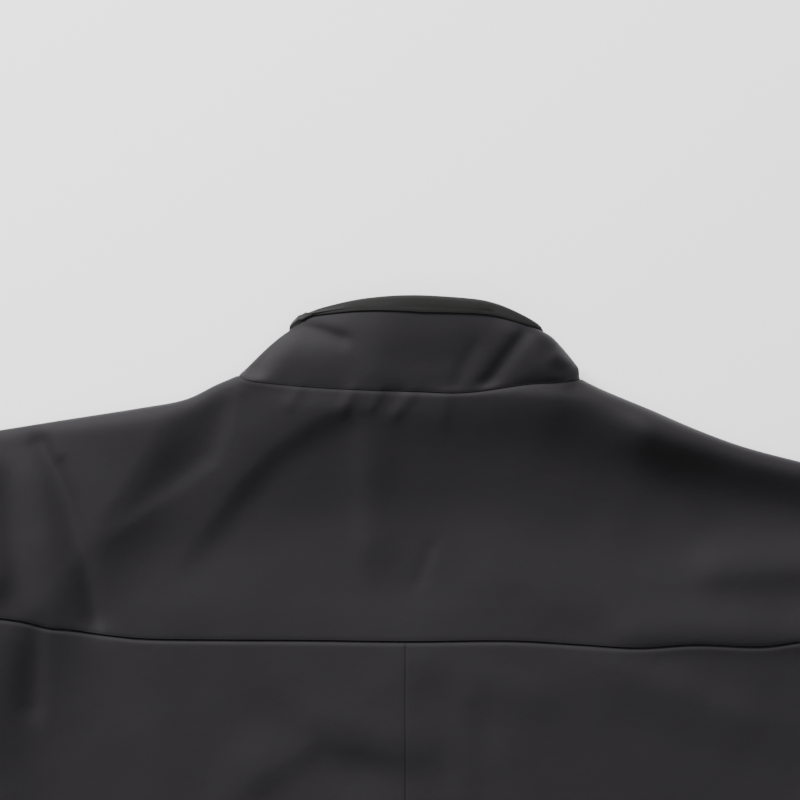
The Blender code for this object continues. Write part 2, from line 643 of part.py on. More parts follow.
def box_object(name, low, high):
    """One box as its own object, to be joined to others."""
    mesh = bpy.data.meshes.new(name)
    shape = bmesh.new()
    add_box(shape, low, high)
    shape.to_mesh(mesh)
    shape.free()
    made = bpy.data.objects.new(name, mesh)
    bpy.context.scene.collection.objects.link(made)
    return made


def join_solids(base, others, operation):
    """Unite others with base, or cut them from it, and keep one mesh."""
    for other in others:
        step = base.modifiers.new(other.name, "BOOLEAN")
        step.operation = operation
        step.object = other
    bpy.context.view_layer.update()
    evaluated = base.evaluated_get(bpy.context.evaluated_depsgraph_get())
    mesh = bpy.data.meshes.new_from_object(evaluated)
    base.modifiers.clear()
    base.data = mesh
    for other in others:
        bpy.data.objects.remove(other, do_unlink=True)


def slider_height():
    """Height of the chain's middle where the slider sits."""
    return ZIP_HEIGHT + float(slider_lift(np.array(0.0), np.array(SLIDER_AT)))


def zip_slider(finish):
    """The slider closed on the chain, its bridge towards the outside of the garment."""
    z = slider_height()
    y = SLIDER_AT + Y_SHIFT
    half = SLIDER_LENGTH / 2
    inside, outside = PLATE_NEAR, PLATE_FAR
    lap = SLIDER_LAP
    body = box_object("zip_slider", (-SLIDER_HALF, y - half, z - outside),
                      (SLIDER_HALF, y + half, z - inside))
    parts = [box_object("inner_plate", (-SLIDER_HALF, y - half, z + inside),
                        (SLIDER_HALF, y + half, z + outside)),
             box_object("diamond", (-DIAMOND_HALF, y + half - DIAMOND_LENGTH, z - inside - lap),
                        (DIAMOND_HALF, y + half, z + inside + lap))]
    for side in (-1, 1):
        low_x, high_x = sorted((side * FLANGE_NEAR, side * SLIDER_HALF))
        parts.append(box_object("flange", (low_x, y - half, z - outside + lap),
                                (high_x, y + half, z - FLANGE_GAP)))
        parts.append(box_object("flange", (low_x, y - half, z + FLANGE_GAP),
                                (high_x, y + half, z + outside - lap)))
        near, far = sorted((side * (BRIDGE_LENGTH / 2 - POST_LENGTH), side * BRIDGE_LENGTH / 2))
        parts.append(box_object("post", (-BRIDGE_HALF, y + near, z - BRIDGE_FAR),
                                (BRIDGE_HALF, y + far, z - outside + lap)))
    reach = BRIDGE_LENGTH / 2 - lap
    parts.append(box_object("bridge", (-BRIDGE_HALF, y - reach, z - BRIDGE_FAR + lap / 2),
                            (BRIDGE_HALF, y + reach, z - BRIDGE_UNDER)))
    join_solids(body, parts, "UNION")
    body.data.materials.clear()
    body.data.materials.append(finish)
    return body


def zip_pull(finish):
    """The pull tab: a tongue with a window round the bridge, lying along the zip towards the hem."""
    pivot = bpy.data.objects.new("pull_axis", None)
    bpy.context.scene.collection.objects.link(pivot)
    pivot.location = (0, SLIDER_AT + Y_SHIFT, slider_height() - PULL_DEPTH)
    half = PULL_BAR / 2
    tip = half - PULL_LENGTH
    shape = bmesh.new()
    right = [(PULL_TIP_HALF, tip), (PULL_HALF, tip + PULL_TIP_LENGTH), (PULL_WAIST_HALF, -PULL_WAIST_AT),
             (PULL_HALF, half - PULL_WINDOW_LENGTH), (PULL_HALF, half)]
    outline = [(-x, y) for x, y in right[::-1]] + right
    corners = [shape.verts.new((x, y, -half)) for x, y in outline]
    face = shape.faces.new(corners)
    lifted = bmesh.ops.extrude_face_region(shape, geom=[face])["geom"]
    moved = [item for item in lifted if isinstance(item, bmesh.types.BMVert)]
    bmesh.ops.translate(shape, vec=(0, 0, PULL_BAR), verts=moved)
    bmesh.ops.recalc_face_normals(shape, faces=shape.faces)
    mesh = bpy.data.meshes.new("zip_pull")
    shape.to_mesh(mesh)
    shape.free()
    pull = bpy.data.objects.new("zip_pull", mesh)
    bpy.context.scene.collection.objects.link(pull)
    window = box_object("window", (-PULL_WINDOW_HALF, -PULL_WINDOW_LENGTH, -PULL_BAR),
                        (PULL_WINDOW_HALF, -half, PULL_BAR))
    join_solids(pull, [window], "DIFFERENCE")
    pull.data.materials.clear()
    pull.data.materials.append(finish)
    pull.parent = pivot
    return pull


def build():
    """Make every piece of the jacket."""
    clear_scene()
    shell = material("shell_cloth", CLOTH)
    inner = material("inner_cloth", INNER_CLOTH)
    tape = material("zip_tape", TAPE)
    steel = material("zip_metal", STEEL)

    yoke, used, in_neck, top_rows = yoke_grid()
    wall("back_yoke", yoke, shell, used=used)

    front_edges = {}
    for side, word in ((-1, "left"), (1, "right")):
        back, underarm = back_panel(side)
        wall("back_" + word, back, shell, flip=side < 0)
        front, front_underarm, neck_row = front_panel(side)
        wall("front_" + word, front, shell, flip=side > 0)
        arm_column = 0 if side < 0 else -1
        ring_upper = np.vstack([yoke[0][:top_rows, arm_column][::-1], back[0][underarm:-1, -1][::-1]])
        ring_lower = np.vstack([yoke[0][top_rows - 1:, arm_column], front[0][front_underarm:-1, -1][::-1]])
        sleeve(side, ring_upper, ring_lower, shell)
        front_edges[side] = [face[neck_row:, 0] for face in front]

    edge = neck_edge(yoke, in_neck, top_rows, front_edges)
    collar, normals = collar_grid(edge)
    wall("collar_outer", (collar, collar - normals * WALL), shell)
    wall("collar_facing", facing_faces(collar, normals), inner, flip=True, turned_row=len(collar) + 2)
    front_zip(tape)
    zip_slider(steel)
    zip_pull(steel)


build()
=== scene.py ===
# %% [markdown]
# # A soft-shell jacket lying on its front
# The photograph looks straight down on the upper back of a dark jacket: its stand collar, its
# one-piece yoke, and the first stretch of the back below the yoke seam. The whole garment is made
# here, as it would lie if it were put down with its back upwards. Lengths are in metres, +Z is up,
# the collar points along +Y, and tables are in millimetres from the middle of the back neck seam.

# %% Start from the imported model
import math

import bpy
import numpy as np
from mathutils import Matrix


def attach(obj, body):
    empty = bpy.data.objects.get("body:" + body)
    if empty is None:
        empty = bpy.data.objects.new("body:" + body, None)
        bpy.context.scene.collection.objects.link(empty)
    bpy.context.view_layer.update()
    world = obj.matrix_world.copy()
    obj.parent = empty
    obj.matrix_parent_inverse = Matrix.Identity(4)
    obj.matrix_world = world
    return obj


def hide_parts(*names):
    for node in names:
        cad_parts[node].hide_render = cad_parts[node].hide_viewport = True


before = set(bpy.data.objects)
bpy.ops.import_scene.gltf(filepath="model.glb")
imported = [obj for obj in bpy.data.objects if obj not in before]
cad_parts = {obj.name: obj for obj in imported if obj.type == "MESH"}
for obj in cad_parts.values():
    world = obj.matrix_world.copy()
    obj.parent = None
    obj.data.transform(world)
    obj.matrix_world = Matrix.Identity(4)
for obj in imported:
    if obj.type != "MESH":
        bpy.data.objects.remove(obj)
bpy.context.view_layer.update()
MM = 0.001

# %% [markdown]
# ## How the cloth lies
# Two layers of cloth, the back over the fronts, meet in a soft roll along the shoulders, the sides
# and both edges of each sleeve. One height over the table is enough to describe both layers: the
# upper one follows it, the lower one lies on the table, and near a folded edge both curve round
# to meet each other. The cut is the one that the solids were made from. The collar's rim, the roll
# of the folded edges and the folds follow the photograph a few millimetres closer than theirs do.

# %% Sizes of the cloth and of the cut
WALL = 1.5 * MM
SEAM = 0.3 * MM
LOFT = 6.0 * MM
EDGE_SWELL = 1.5 * MM
EDGE_REACH = 30.0 * MM
FOLD_SHARE = 0.45
ROLL_SHARE = 0.65
ROLL_POWER = 3
NECK_RISE = 18.0 * MM
NECK_REACH_DOWN = 0.120
NECK_REACH_ACROSS = 0.150

BACK_LENGTH = 0.700
CHEST_HALF = 0.287
SHOULDER_HALF = 0.250
UNDERARM_DROP = 0.292
SLEEVE_LENGTH = 0.660
SLEEVE_ANGLE = math.radians(40)
CUFF_WIDTH = 0.115
SLEEVE_TOP_BOW = [(0.18, 0.018), (0.55, 0.012)]
SLEEVE_UNDER_BOW = [(0.25, -0.008), (0.6, 0.006)]
SHOULDER_DROP = {-1: 25, 1: 46}
FORWARD_SEAM = 20.0 * MM
COLLAR_TOP = 57.4 * MM
COLLAR_SEAM = 0.4 * MM
BAND_AT_BACK = 7.5 * MM
BAND_AT_FRONT = 1.2 * MM
BAND_REACH = 0.48
ZIP_HALF = 5.0 * MM
ZIP_HEIGHT = 1.3 * MM
SLIDER_AT = -38.0 * MM
SLIDER_LIFT = 3.6 * MM
LIFT_REACH = 90.0 * MM
Y_SHIFT = (BACK_LENGTH - COLLAR_TOP) / 2

# Outlines, for the right side where both are alike. Keys -1 and 1 are the left and right side.
# RIM has the height over the table as its third number.
SHOULDER = {
    -1: [(97, 9), (110, 3.5), (128, -5), (155, -10), (200, -17), (250, -25)],
    1: [(102, 7), (115, 0.6), (143, -11), (170, -22.6), (201, -33.6), (250, -46)],
}
YOKE_SEAM = [(-245, -130), (-223, -133), (-208, -137), (-193, -138.6), (-170, -142), (-141, -144),
             (-60, -144.6), (0, -145.3), (60, -144.9), (100, -147), (135, -149), (169, -147.2),
             (206, -148.3), (229, -145.6), (246, -144)]
NECK_SEAM = [(-97, 9), (-88, 5.5), (-58.6, 2.3), (-30, 0.6), (6.4, -0.6), (35, -1.2),
             (70, 3.5), (88, 4.6), (102, 7)]
ARMHOLE_LOWER = [(245, -137), (248, -180), (256, -220), (269, -258), (287, -292)]
SIDE_SEAM = [(287, -292), (281, -420), (276, -560), (273, -697)]
FRONT_ARMHOLE_MIDDLE = (246, -100)
FRONT_NECK = [(5, -78), (28, -76), (62, -62), (86, -36)]
RIM = [(-5, -28, 3.6), (-18, -23, 3.6), (-38, -4, 4), (-53, 18, 5), (-60.5, 31, 8.5), (-62, 39.8, 14),
       (-54, 45.6, 20), (-40, 50.2, 25.5), (-20, 54, 31), (5, 55.3, 36.5), (36.5, 53.4, 39), (52, 50.5, 38),
       (65, 45, 35), (74.5, 38.5, 29), (78, 31.5, 19), (76, 24, 9), (69, 11, 5.5), (55, -6, 4),
       (36, -20, 3.8), (18, -26, 3.6), (5, -28, 3.6)]
# Rows of RIM at which the collar turns under, at the left and right
RIM_LEFT_FOLD = 5
RIM_RIGHT_FOLD = 14
print("back length, m:", BACK_LENGTH, "chest laid flat, m:", 2 * CHEST_HALF)

# %% [markdown]
# ## Folds
# Each fold is a soft crest along a short line, with its own softness on either side, so a slope can
# be long on one side and steep on the other as a dragged fold is. A negative height makes a trough.
# The large ones are also in the solids. The finer creases are only here. Where the photograph
# doesn't reach, similar ones stand for what such a jacket does when it is put down.

# %% Folds of the body and sleeves
# Points of the line, softness on its left and on its right as the line runs, height
FOLDS = {
    "right shoulder roll": ([(144, -22), (200, -38), (262, -50)], 17, 18, 11),
    "right neck slope": ([(98, 8), (142, -8)], 10, 42, 9),
    "left neck drag": ([(-128, 8), (-149, -28), (-167, -55)], 26, 90, 12),
    "inner neck drag": ([(-30, -3), (-56, -15), (-81, -33), (-98, -51), (-114, -72)], 11, 26, 3.6),
    "centre back step": ([(-20, -16), (-20, -84)], 16, 10, 2),
    "left armhole crease": ([(-209, -30), (-180, -128)], 9, 12, -3),
    "left armhole roll": ([(-213, -54), (-210, -82)], 15, 20, 3.4),
    "lower yoke rise": ([(60, -110), (190, -128)], 26, 20, 2.5),
    "left panel arch": ([(-82, -220), (-50, -200), (-14, -206)], 20, 13, 2.8),
    "right of the arch": ([(-12, -176), (10, -204)], 12, 14, 1.2),
    "left panel hollow": ([(-62, -202), (-30, -214)], 16, 22, -2),
    "left side drag": ([(-236, -250), (-150, -330)], 16, 24, 3.5),
    "right side drag": ([(240, -262), (168, -360)], 22, 16, 3.5),
    "left waist fold": ([(-225, -470), (-120, -430)], 18, 24, 3),
    "right waist fold": ([(205, -500), (96, -452)], 22, 16, 3),
    "left hem wave": ([(-150, -690), (-138, -590)], 22, 26, 2.5),
    "right hem wave": ([(118, -690), (132, -570)], 24, 20, 2.5),
    "left sleeve head": ([(-270, -120), (-400, -205)], 20, 30, 5),
    "left elbow": ([(-470, -330), (-392, -392)], 14, 20, 5),
    "left forearm": ([(-560, -430), (-500, -500)], 12, 18, 3.5),
    "right sleeve head": ([(272, -140), (392, -236)], 30, 20, 5),
    "right elbow": ([(462, -352), (388, -400)], 20, 14, 5),
    "right forearm": ([(548, -452), (500, -520)], 18, 12, 3.5),
}
print("folds:", len(FOLDS))

# %% [markdown]
# The creases are the same kind of thing, only finer: puckers under the neck seam, dents, and the
# slight rises that give the cloth beside a fold its tone.

# %% Creases of the body and sleeves
CREASES = {
    "below the left neck corner": ([(-128, -8), (-100, 0)], 8, 16, -2.5),
    "beside the neck drag": ([(-94, 2), (-98, -22), (-106, -43), (-131, -61), (-155, -76)], 18, 7, 1.7),
    "below the left neck": ([(-58, -11), (-14, -13)], 9, 22, 1.6),
    "below the right neck": ([(20, -4), (64, -3), (112, -6)], 6, 24, 3.6),
    "pucker one": ([(-31, -2), (-35, -10)], 3, 4, 0.9),
    "pucker two": ([(-62, -1), (-66, -7)], 3, 4, 0.6),
    "pucker three": ([(-15, -2), (-19, -9)], 2.5, 3, 0.6),
    "pucker four": ([(3, -3), (-5, -13)], 3.5, 4, 0.9),
    "pucker five": ([(24, -3), (22, -16)], 4, 5, 0.5),
    "dimple": ([(15, -92), (9, -109)], 4, 5, -0.6),
    "left edge pucker": ([(-206, -22), (-201, -36)], 4, 4, 1.3),
    "left soft crease": ([(-211, -31), (-194, -63), (-185, -98), (-180, -132)], 4, 6, -1.3),
    "left armhole ridge": ([(-243, -48), (-240, -106)], 11, 14, 7),
    "lower yoke rise left": ([(-176, -138), (-60, -143), (90, -143), (190, -146)], 36, 58, 3.2),
    "right yoke ridge": ([(184, -104), (240, -101)], 15, 12, 3.4),
    "left yoke rise": ([(-152, -120), (-96, -112)], 36, 26, 1.6),
    "right yoke light": ([(134, -141), (230, -142)], 13, 9, 2.2),
    "middle hollow": ([(-60, -76), (30, -70)], 20, 26, -1.2),
    "below the seam left": ([(-214, -142), (-216, -182)], 6, 9, -1.8),
    "below the seam middle": ([(14, -160), (70, -176)], 12, 16, 1),
    "below the seam right": ([(120, -162), (196, -190)], 12, 20, 1.6),
    "lower left ridge": ([(-244, -146), (-254, -250)], 30, 30, 10),
    "right of the centre seam": ([(36, -180), (34, -232)], 9, 10, 0.9),
    "left blade": ([(-150, -200), (-120, -290)], 22, 16, 1.8),
    "right blade": ([(60, -220), (96, -320)], 18, 24, 1.8),
    "left waist crease": ([(-240, -438), (-180, -424)], 6, 8, -1.6),
    "right waist crease": ([(236, -470), (170, -446)], 7, 6, -1.6),
    "middle waist crease": ([(-60, -472), (52, -486)], 10, 14, 1.2),
    "left hem crease": ([(-96, -700), (-84, -630)], 8, 10, -1.2),
    "right hem crease": ([(62, -700), (74, -640)], 10, 8, -1.2),
    "left upper sleeve crease": ([(-330, -205), (-300, -262)], 7, 9, -1.8),
    "left elbow crease one": ([(-452, -300), (-376, -356)], 6, 8, -2),
    "left elbow crease two": ([(-500, -352), (-432, -420)], 6, 9, -2),
    "left cuff crease": ([(-700, -470), (-640, -520)], 8, 8, -1.4),
    "right upper sleeve crease": ([(330, -232), (302, -290)], 9, 7, -1.8),
    "right elbow crease one": ([(446, -326), (380, -378)], 8, 6, -2),
    "right elbow crease two": ([(506, -386), (440, -446)], 9, 6, -2),
    "right cuff crease": ([(690, -500), (632, -548)], 8, 8, -1.4),
}
print("creases:", len(CREASES))

# %% [markdown]
# The collar has its own creases. Their lines are in plan too, but they stand out along the collar's
# normals, because its cloth stands up.

# %% Creases of the collar
COLLAR_CREASES = {
    "short dark fold": ([(-62, 38), (-50, 35), (-38, 31)], 4, 6, -2.2),
    "right end ridge": ([(78, 40), (88, 24), (96, 12)], 3, 20, 5),
    "soft step": ([(-36, 30), (-20, 12)], 12, 8, 0.8),
    "strong diagonal": ([(69, 34), (57, 17), (47, 3)], 5, 5, -2),
    "second diagonal": ([(40, 25), (29, 4)], 5, 5, -0.7),
    "right corner ridge": ([(84, 18), (93, 12), (102, 7)], 3, 3, 1.2),
    "right corner hollow": ([(77, 8), (92, 8)], 4, 4, -0.8),
    "left side belly": ([(-74, 24), (-46, 17)], 12, 12, 1.2),
    "middle hollow": ([(-24, 20), (30, 18)], 14, 12, -1.4),
    "left tilt": ([(-88, 12), (-70, 34)], 6, 5, -1),
}
print("collar creases:", len(COLLAR_CREASES))

# %% [markdown]
# ## Smooth lines
# A sewn edge is a smooth curve through a few measured points. A Catmull-Rom spline passes through
# every one of them, which a Bezier hull or a fitted curve would not, so the outline stays where the
# photograph shows it.

# %% Curves through points
CURVE_STEPS = 24


def curve_through(points):
    """Many points on a smooth curve through the given ones, CURVE_STEPS to each stretch."""
    knots = np.array(points, dtype=float)
    padded = np.vstack([2 * knots[0] - knots[1], knots, 2 * knots[-1] - knots[-2]])
    steps = np.linspace(0, 1, CURVE_STEPS, endpoint=False)[:, None]
    dense = []
    for i in range(1, len(padded) - 2):
        p0, p1, p2, p3 = padded[i - 1:i + 3]
        dense.append(0.5 * (2 * p1 + (p2 - p0) * steps + (2 * p0 - 5 * p1 + 4 * p2 - p3) * steps ** 2
                            + (3 * p1 - p0 - 3 * p2 + p3) * steps ** 3))
    return np.vstack(dense + [knots[-1:]])


def shares_along(points):
    """How far along a line each of its points is, from 0 to 1."""
    along = np.concatenate([[0], np.cumsum(np.linalg.norm(np.diff(points, axis=0), axis=1))])
    return along / along[-1]


def read_off(line, along, shares):
    """Points of a line at the given shares. `along` says how far along each of its points is."""
    return np.stack([np.interp(shares, along, column) for column in line.T], axis=1)


def smooth_line(points, count=None, at=None):
    """Points on a smooth curve, even along its length or at the given shares of it."""
    dense = curve_through(points)
    shares = np.linspace(0, 1, count) if at is None else np.asarray(at)
    return read_off(dense, shares_along(dense), shares)


def sided(points, side):
    """A table in millimetres as metres, turned to the left (-1) or right (1) side."""
    return np.array([(side * x * MM, y * MM) for x, y in points])


def unit(ways):
    """The same ways, each of length 1."""
    return ways / np.linalg.norm(ways, axis=-1, keepdims=True)


def turned_right(ways):
    """Ways in plan turned a quarter to the right."""
    return np.stack([ways[:, 1], -ways[:, 0]], axis=1)


def joined(*stretches):
    """Several rows end to end, without the repeated meeting points."""
    return np.concatenate([stretches[0]] + [stretch[1:] for stretch in stretches[1:]])


print("yoke seam:", len(curve_through(YOKE_SEAM)), "points")

# %% [markdown]
# ## Rows of points
# A seam needs a few rows close together, so that its edge can roll inwards, and the open cloth
# between two seams needs far fewer. `spaced` gives shares of a length that are fine at the ends and
# even in the middle.

# %% Spacing of rows
EDGE_ROWS = np.array([0, 0.35, 0.8, 1.4, 2.2, 3.4, 5.2, 7.6]) * MM


def spaced(length, step, fine_start=True, fine_end=True):
    """Shares of a length: close together at the ends that are asked for, `step` apart elsewhere."""
    start = EDGE_ROWS if fine_start else EDGE_ROWS[:1]
    end = length - (EDGE_ROWS if fine_end else EDGE_ROWS[:1])[::-1]
    count = max(2, int(round((end[0] - start[-1]) / step)))
    middle = np.linspace(start[-1], end[0], count + 1)
    return np.concatenate([start[:-1], middle, end[1:]]) / length


print("rows on a 145 mm yoke:", len(spaced(0.145, 2 * MM)))

# %% [markdown]
# ## Folded edges
# The outline of the laid garment is made of folded edges: the shoulder with the top of the sleeve,
# and the underside of the sleeve with the side of the body. They are kept as short straight pieces,
# each with the way in towards the cloth, which turns smoothly from piece to piece.

# %% Folded edges
FOLD_POINTS = 28


def sleeve_corners(side):
    """Outer and inner corner of a cuff."""
    along = np.array([side * math.cos(SLEEVE_ANGLE), -math.sin(SLEEVE_ANGLE)])
    across = np.array([-side * math.sin(SLEEVE_ANGLE), -math.cos(SLEEVE_ANGLE)])
    shoulder = np.array([side * SHOULDER_HALF, -SHOULDER_DROP[side] * MM])
    outer = shoulder + SLEEVE_LENGTH * along
    return outer, outer + CUFF_WIDTH * across


def sleeve_edges(side):
    """The folded top edge and the folded under edge of a sleeve, as smooth lines."""
    outer, inner = sleeve_corners(side)
    shoulder = np.array([side * SHOULDER_HALF, -SHOULDER_DROP[side] * MM])
    underarm = np.array([side * CHEST_HALF, -UNDERARM_DROP])
    bulge = np.array([side * math.sin(SLEEVE_ANGLE), math.cos(SLEEVE_ANGLE)])
    folds = []
    for start, end, bow in ((shoulder, outer, SLEEVE_TOP_BOW), (underarm, inner, SLEEVE_UNDER_BOW)):
        bowed = [start + share * (end - start) + out * bulge for share, out in bow]
        folds.append([start] + bowed + [end])
    return folds


def fold_lines():
    """Every folded edge as short straight pieces: starts, ends, and the way in at each end."""
    pieces = []
    for side in (-1, 1):
        top, under = sleeve_edges(side)
        shoulder, top, under, side_seam = [
            smooth_line(line, FOLD_POINTS)
            for line in (sided(SHOULDER[side], side), top, under, sided(SIDE_SEAM, side))]
        for line in (joined(shoulder, top), joined(under[::-1], side_seam)):
            way_in = turned_right(unit(np.diff(line, axis=0))) * side
            at_points = unit(np.vstack([way_in[:1], way_in[1:] + way_in[:-1], way_in[-1:]]))
            pieces.append(np.hstack([line[:-1], line[1:], at_points[:-1], at_points[1:]]))
    return np.vstack(pieces)


FOLD_PIECES = fold_lines()
print("folded edge pieces:", len(FOLD_PIECES))

# %% [markdown]
# The distance from the nearest folded edge decides how far the cloth has rolled down. Points are
# tested against every piece of every edge, a part of them at a time.

# %% Distance from the folded edges
CHUNK = 20000
ON_THE_EDGE = 0.05 * MM
LEAST_LENGTH = 1e-9


def in_chunks(work, x, y):
    """Run a function of flat arrays over many points, a part at a time, to keep memory small."""
    shape = np.shape(x)
    flat_x, flat_y = np.ravel(x), np.ravel(y)
    parts = [work(flat_x[i:i + CHUNK], flat_y[i:i + CHUNK]) for i in range(0, len(flat_x), CHUNK)]
    done = np.concatenate(parts)
    return done.reshape(shape + done.shape[1:])


def edge_facts(x, y):
    """For flat arrays of points: distance in from the nearest folded edge, and the way in."""
    starts, ends, way_start, way_end = np.split(FOLD_PIECES, 4, axis=1)
    points = np.stack([x, y], axis=-1)[..., None, :]
    run = ends - starts
    share = np.clip(np.sum((points - starts) * run, axis=-1) / np.sum(run * run, axis=-1), 0, 1)
    offset = points - (starts + share[..., None] * run)
    pick = np.linalg.norm(offset, axis=-1).argmin(axis=-1)[..., None]
    offset = np.take_along_axis(offset, pick[..., None], axis=-2)[..., 0, :]
    share = np.take_along_axis(share, pick, axis=-1)
    way = (1 - share) * way_start[pick[..., 0]] + share * way_end[pick[..., 0]]
    way = unit(way)
    inside = np.sum(offset * way, axis=-1) > 0
    away = np.where(inside, np.linalg.norm(offset, axis=-1), 0)
    clear = (away > ON_THE_EDGE)[..., None]
    way = np.where(clear, offset / np.maximum(away, LEAST_LENGTH)[..., None], way)
    return np.concatenate([away[..., None], way], axis=-1)


def from_edge(x, y):
    """Distance of each point in from the nearest folded edge, and the way in from there."""
    facts = in_chunks(edge_facts, x, y)
    return facts[..., 0], facts[..., 1:]


YOKE_MIDDLE = np.array([[0.0, -0.07]])
print("from the middle of the yoke to a folded edge, m:", from_edge(*YOKE_MIDDLE.T)[0].round(3))

# %% [markdown]
# ## Height of the cloth
# The height is the loft of the two layers, a swell beside the folded edges, a rise towards the neck
# where the collar lifts the cloth, every fold and crease, and slight waves over all of it. Under
# the collar the slider holds the front a little off the table.

# %% Height of the cloth
UNEVEN_WAVES = 26
UNEVEN_HEIGHT = 0.05 * MM
UNEVEN_SHORTEST = 0.030
UNEVEN_LONGEST = 0.075
WAVE_SEED = 7
FOLD_END_REACH = 1.2
NECK_POWER_DOWN = 1.5
NECK_POWER_ACROSS = 3
LEAST_LOFT = 0.6
SLOPE_STEP = 0.4 * MM
rng = np.random.default_rng(WAVE_SEED)
WAVE_LENGTHS = np.geomspace(UNEVEN_SHORTEST, UNEVEN_LONGEST, UNEVEN_WAVES)
WAVE_WAYS = rng.uniform(0, math.pi, UNEVEN_WAVES)
WAVE_STARTS = rng.uniform(0, 2 * math.pi, UNEVEN_WAVES)


def ridge(x, y, fold):
    """Height that one fold adds: a soft crest along its line, with its own softness on each side."""
    points, left, right, height = fold
    line = np.array(points, float) * MM
    best = np.full(np.shape(x), np.inf)
    across = np.zeros(np.shape(x))
    beyond = np.zeros(np.shape(x))
    for i in range(len(line) - 1):
        run = line[i + 1] - line[i]
        length = np.linalg.norm(run)
        run = run / length
        along = (x - line[i, 0]) * run[0] + (y - line[i, 1]) * run[1]
        side = (x - line[i, 0]) * run[1] - (y - line[i, 1]) * run[0]
        past = np.maximum(0, np.maximum(-along, along - length))
        nearer = np.hypot(side, past) < best
        best = np.where(nearer, np.hypot(side, past), best)
        inner_end = ((i > 0) & (along < 0)) | ((i < len(line) - 2) & (along > length))
        here = np.where(inner_end, np.sign(side) * np.hypot(side, past), side)
        across = np.where(nearer, here, across)
        beyond = np.where(nearer, np.where(inner_end, 0, past), beyond)
    softness = np.where(across < 0, left, right) * MM
    end = beyond / (FOLD_END_REACH * max(left, right) * MM)
    return height * MM * np.exp(-(across / softness) ** 2 - end ** 2)


def unevenness(x, y):
    """Slight waves in every direction, as cloth that has been worn and put down has."""
    total = np.zeros(np.shape(x))
    for length, way, start in zip(WAVE_LENGTHS, WAVE_WAYS, WAVE_STARTS):
        phase = 2 * math.pi * (x * math.cos(way) + y * math.sin(way)) / length
        total += np.sin(phase + start) * length / UNEVEN_LONGEST
    return UNEVEN_HEIGHT * total


def cloth_height(x, y):
    """Height of the upper layer's outer face over the table, before the edges roll down."""
    away = from_edge(x, y)[0]
    height = LOFT + EDGE_SWELL * np.exp(-(away / EDGE_REACH) ** 2)
    rise = np.clip(1 + y / NECK_REACH_DOWN, 0, None) ** NECK_POWER_DOWN
    height = height + NECK_RISE * rise * np.exp(-np.abs(x / NECK_REACH_ACROSS) ** NECK_POWER_ACROSS)
    for fold in (*FOLDS.values(), *CREASES.values()):
        height = height + ridge(x, y, fold)
    return np.maximum(height + unevenness(x, y), LOFT * LEAST_LOFT)


def slider_lift(x, y):
    """How far the slider under the collar holds the front off the table."""
    def window(distance):
        return np.cos(np.pi / 2 * np.clip(np.abs(distance) / LIFT_REACH, 0, 1)) ** 2
    return SLIDER_LIFT * window(x) * window(y - SLIDER_AT)


def slope(height, x, y):
    """Slope of a height over the plan, along x and y."""
    step = SLOPE_STEP
    return np.stack([height(x + step, y) - height(x - step, y),
                     height(x, y + step) - height(x, y - step)], axis=-1) / (2 * step)


print("height in the middle of the yoke, m:", cloth_height(*YOKE_MIDDLE.T).round(5))

# %% [markdown]
# ## A piece of cloth
# A cut piece is a grid of points in plan, filled in between its four edge lines. The grid is laid on
# the upper or the lower layer, its sewn edges are rolled a little inwards, and it is given its
# thickness. Solidify could add the thickness, but at the rolled edges it makes the wall thinner,
# so the inner face is worked out from the same slope as the outer one.

# %% Lay a grid on the cloth
def on_layer(plan, upper):
    """Points and unit normals of the upper or lower layer's outer face at places in plan."""
    x, y = plan[..., 0], plan[..., 1]
    height = cloth_height(x, y)
    away, way_in = from_edge(x, y)
    near = 1 - np.minimum(away / (ROLL_SHARE * height), 1)
    turn = (1 - near ** ROLL_POWER) ** (1 / ROLL_POWER)
    steep = near ** (ROLL_POWER - 1)
    level = turn ** (ROLL_POWER - 1)
    if upper:
        z = height * (FOLD_SHARE + (1 - FOLD_SHARE) * turn)
        flat = -(level * z / height)[..., None] * slope(cloth_height, x, y)
        flat = flat - ((1 - FOLD_SHARE) / ROLL_SHARE * steep)[..., None] * way_in
        normal = np.concatenate([flat, level[..., None]], axis=-1)
    else:
        z = FOLD_SHARE * height * (1 - turn) + slider_lift(x, y)
        flat = level[..., None] * slope(slider_lift, x, y)
        flat = flat - (FOLD_SHARE / ROLL_SHARE * steep)[..., None] * way_in
        normal = np.concatenate([flat, -level[..., None]], axis=-1)
    return np.stack([x, y, z], axis=-1), unit(normal)


def patch(bottom, top, left, right, across, up):
    """Plan points inside four edge lines. Each line is given at the shares `across` or `up`."""
    u = np.asarray(across)[None, :, None]
    v = np.asarray(up)[:, None, None]
    ruled = (1 - v) * bottom[None] + v * top[None] + (1 - u) * left[:, None] + u * right[:, None]
    corners = ((1 - u) * (1 - v) * bottom[0] + u * (1 - v) * bottom[-1]
               + (1 - u) * v * top[0] + u * v * top[-1])
    return ruled - corners


print("the underside at the same place:", on_layer(YOKE_MIDDLE, False)[0].round(5))

# %% [markdown]
# A sewn edge dips into a narrow groove that runs along the seam. The groove's shadow is what draws
# the seams in the photograph.

# %% Roll the sewn edges inwards
GROOVE_DEPTH = 1.0 * MM
GROOVE_WIDTH = 1.1 * MM


def border_distances(points):
    """Distance of each grid point from the first and last row and the first and last column."""
    down = np.linalg.norm(np.diff(points, axis=0), axis=2)
    along = np.linalg.norm(np.diff(points, axis=1), axis=2)
    from_first_row = np.concatenate([0 * down[:1], np.cumsum(down, axis=0)])
    from_first_column = np.concatenate([0 * along[:, :1], np.cumsum(along, axis=1)], axis=1)
    return {"bottom": from_first_row, "top": from_first_row[-1:] - from_first_row,
            "left": from_first_column, "right": from_first_column[:, -1:] - from_first_column}


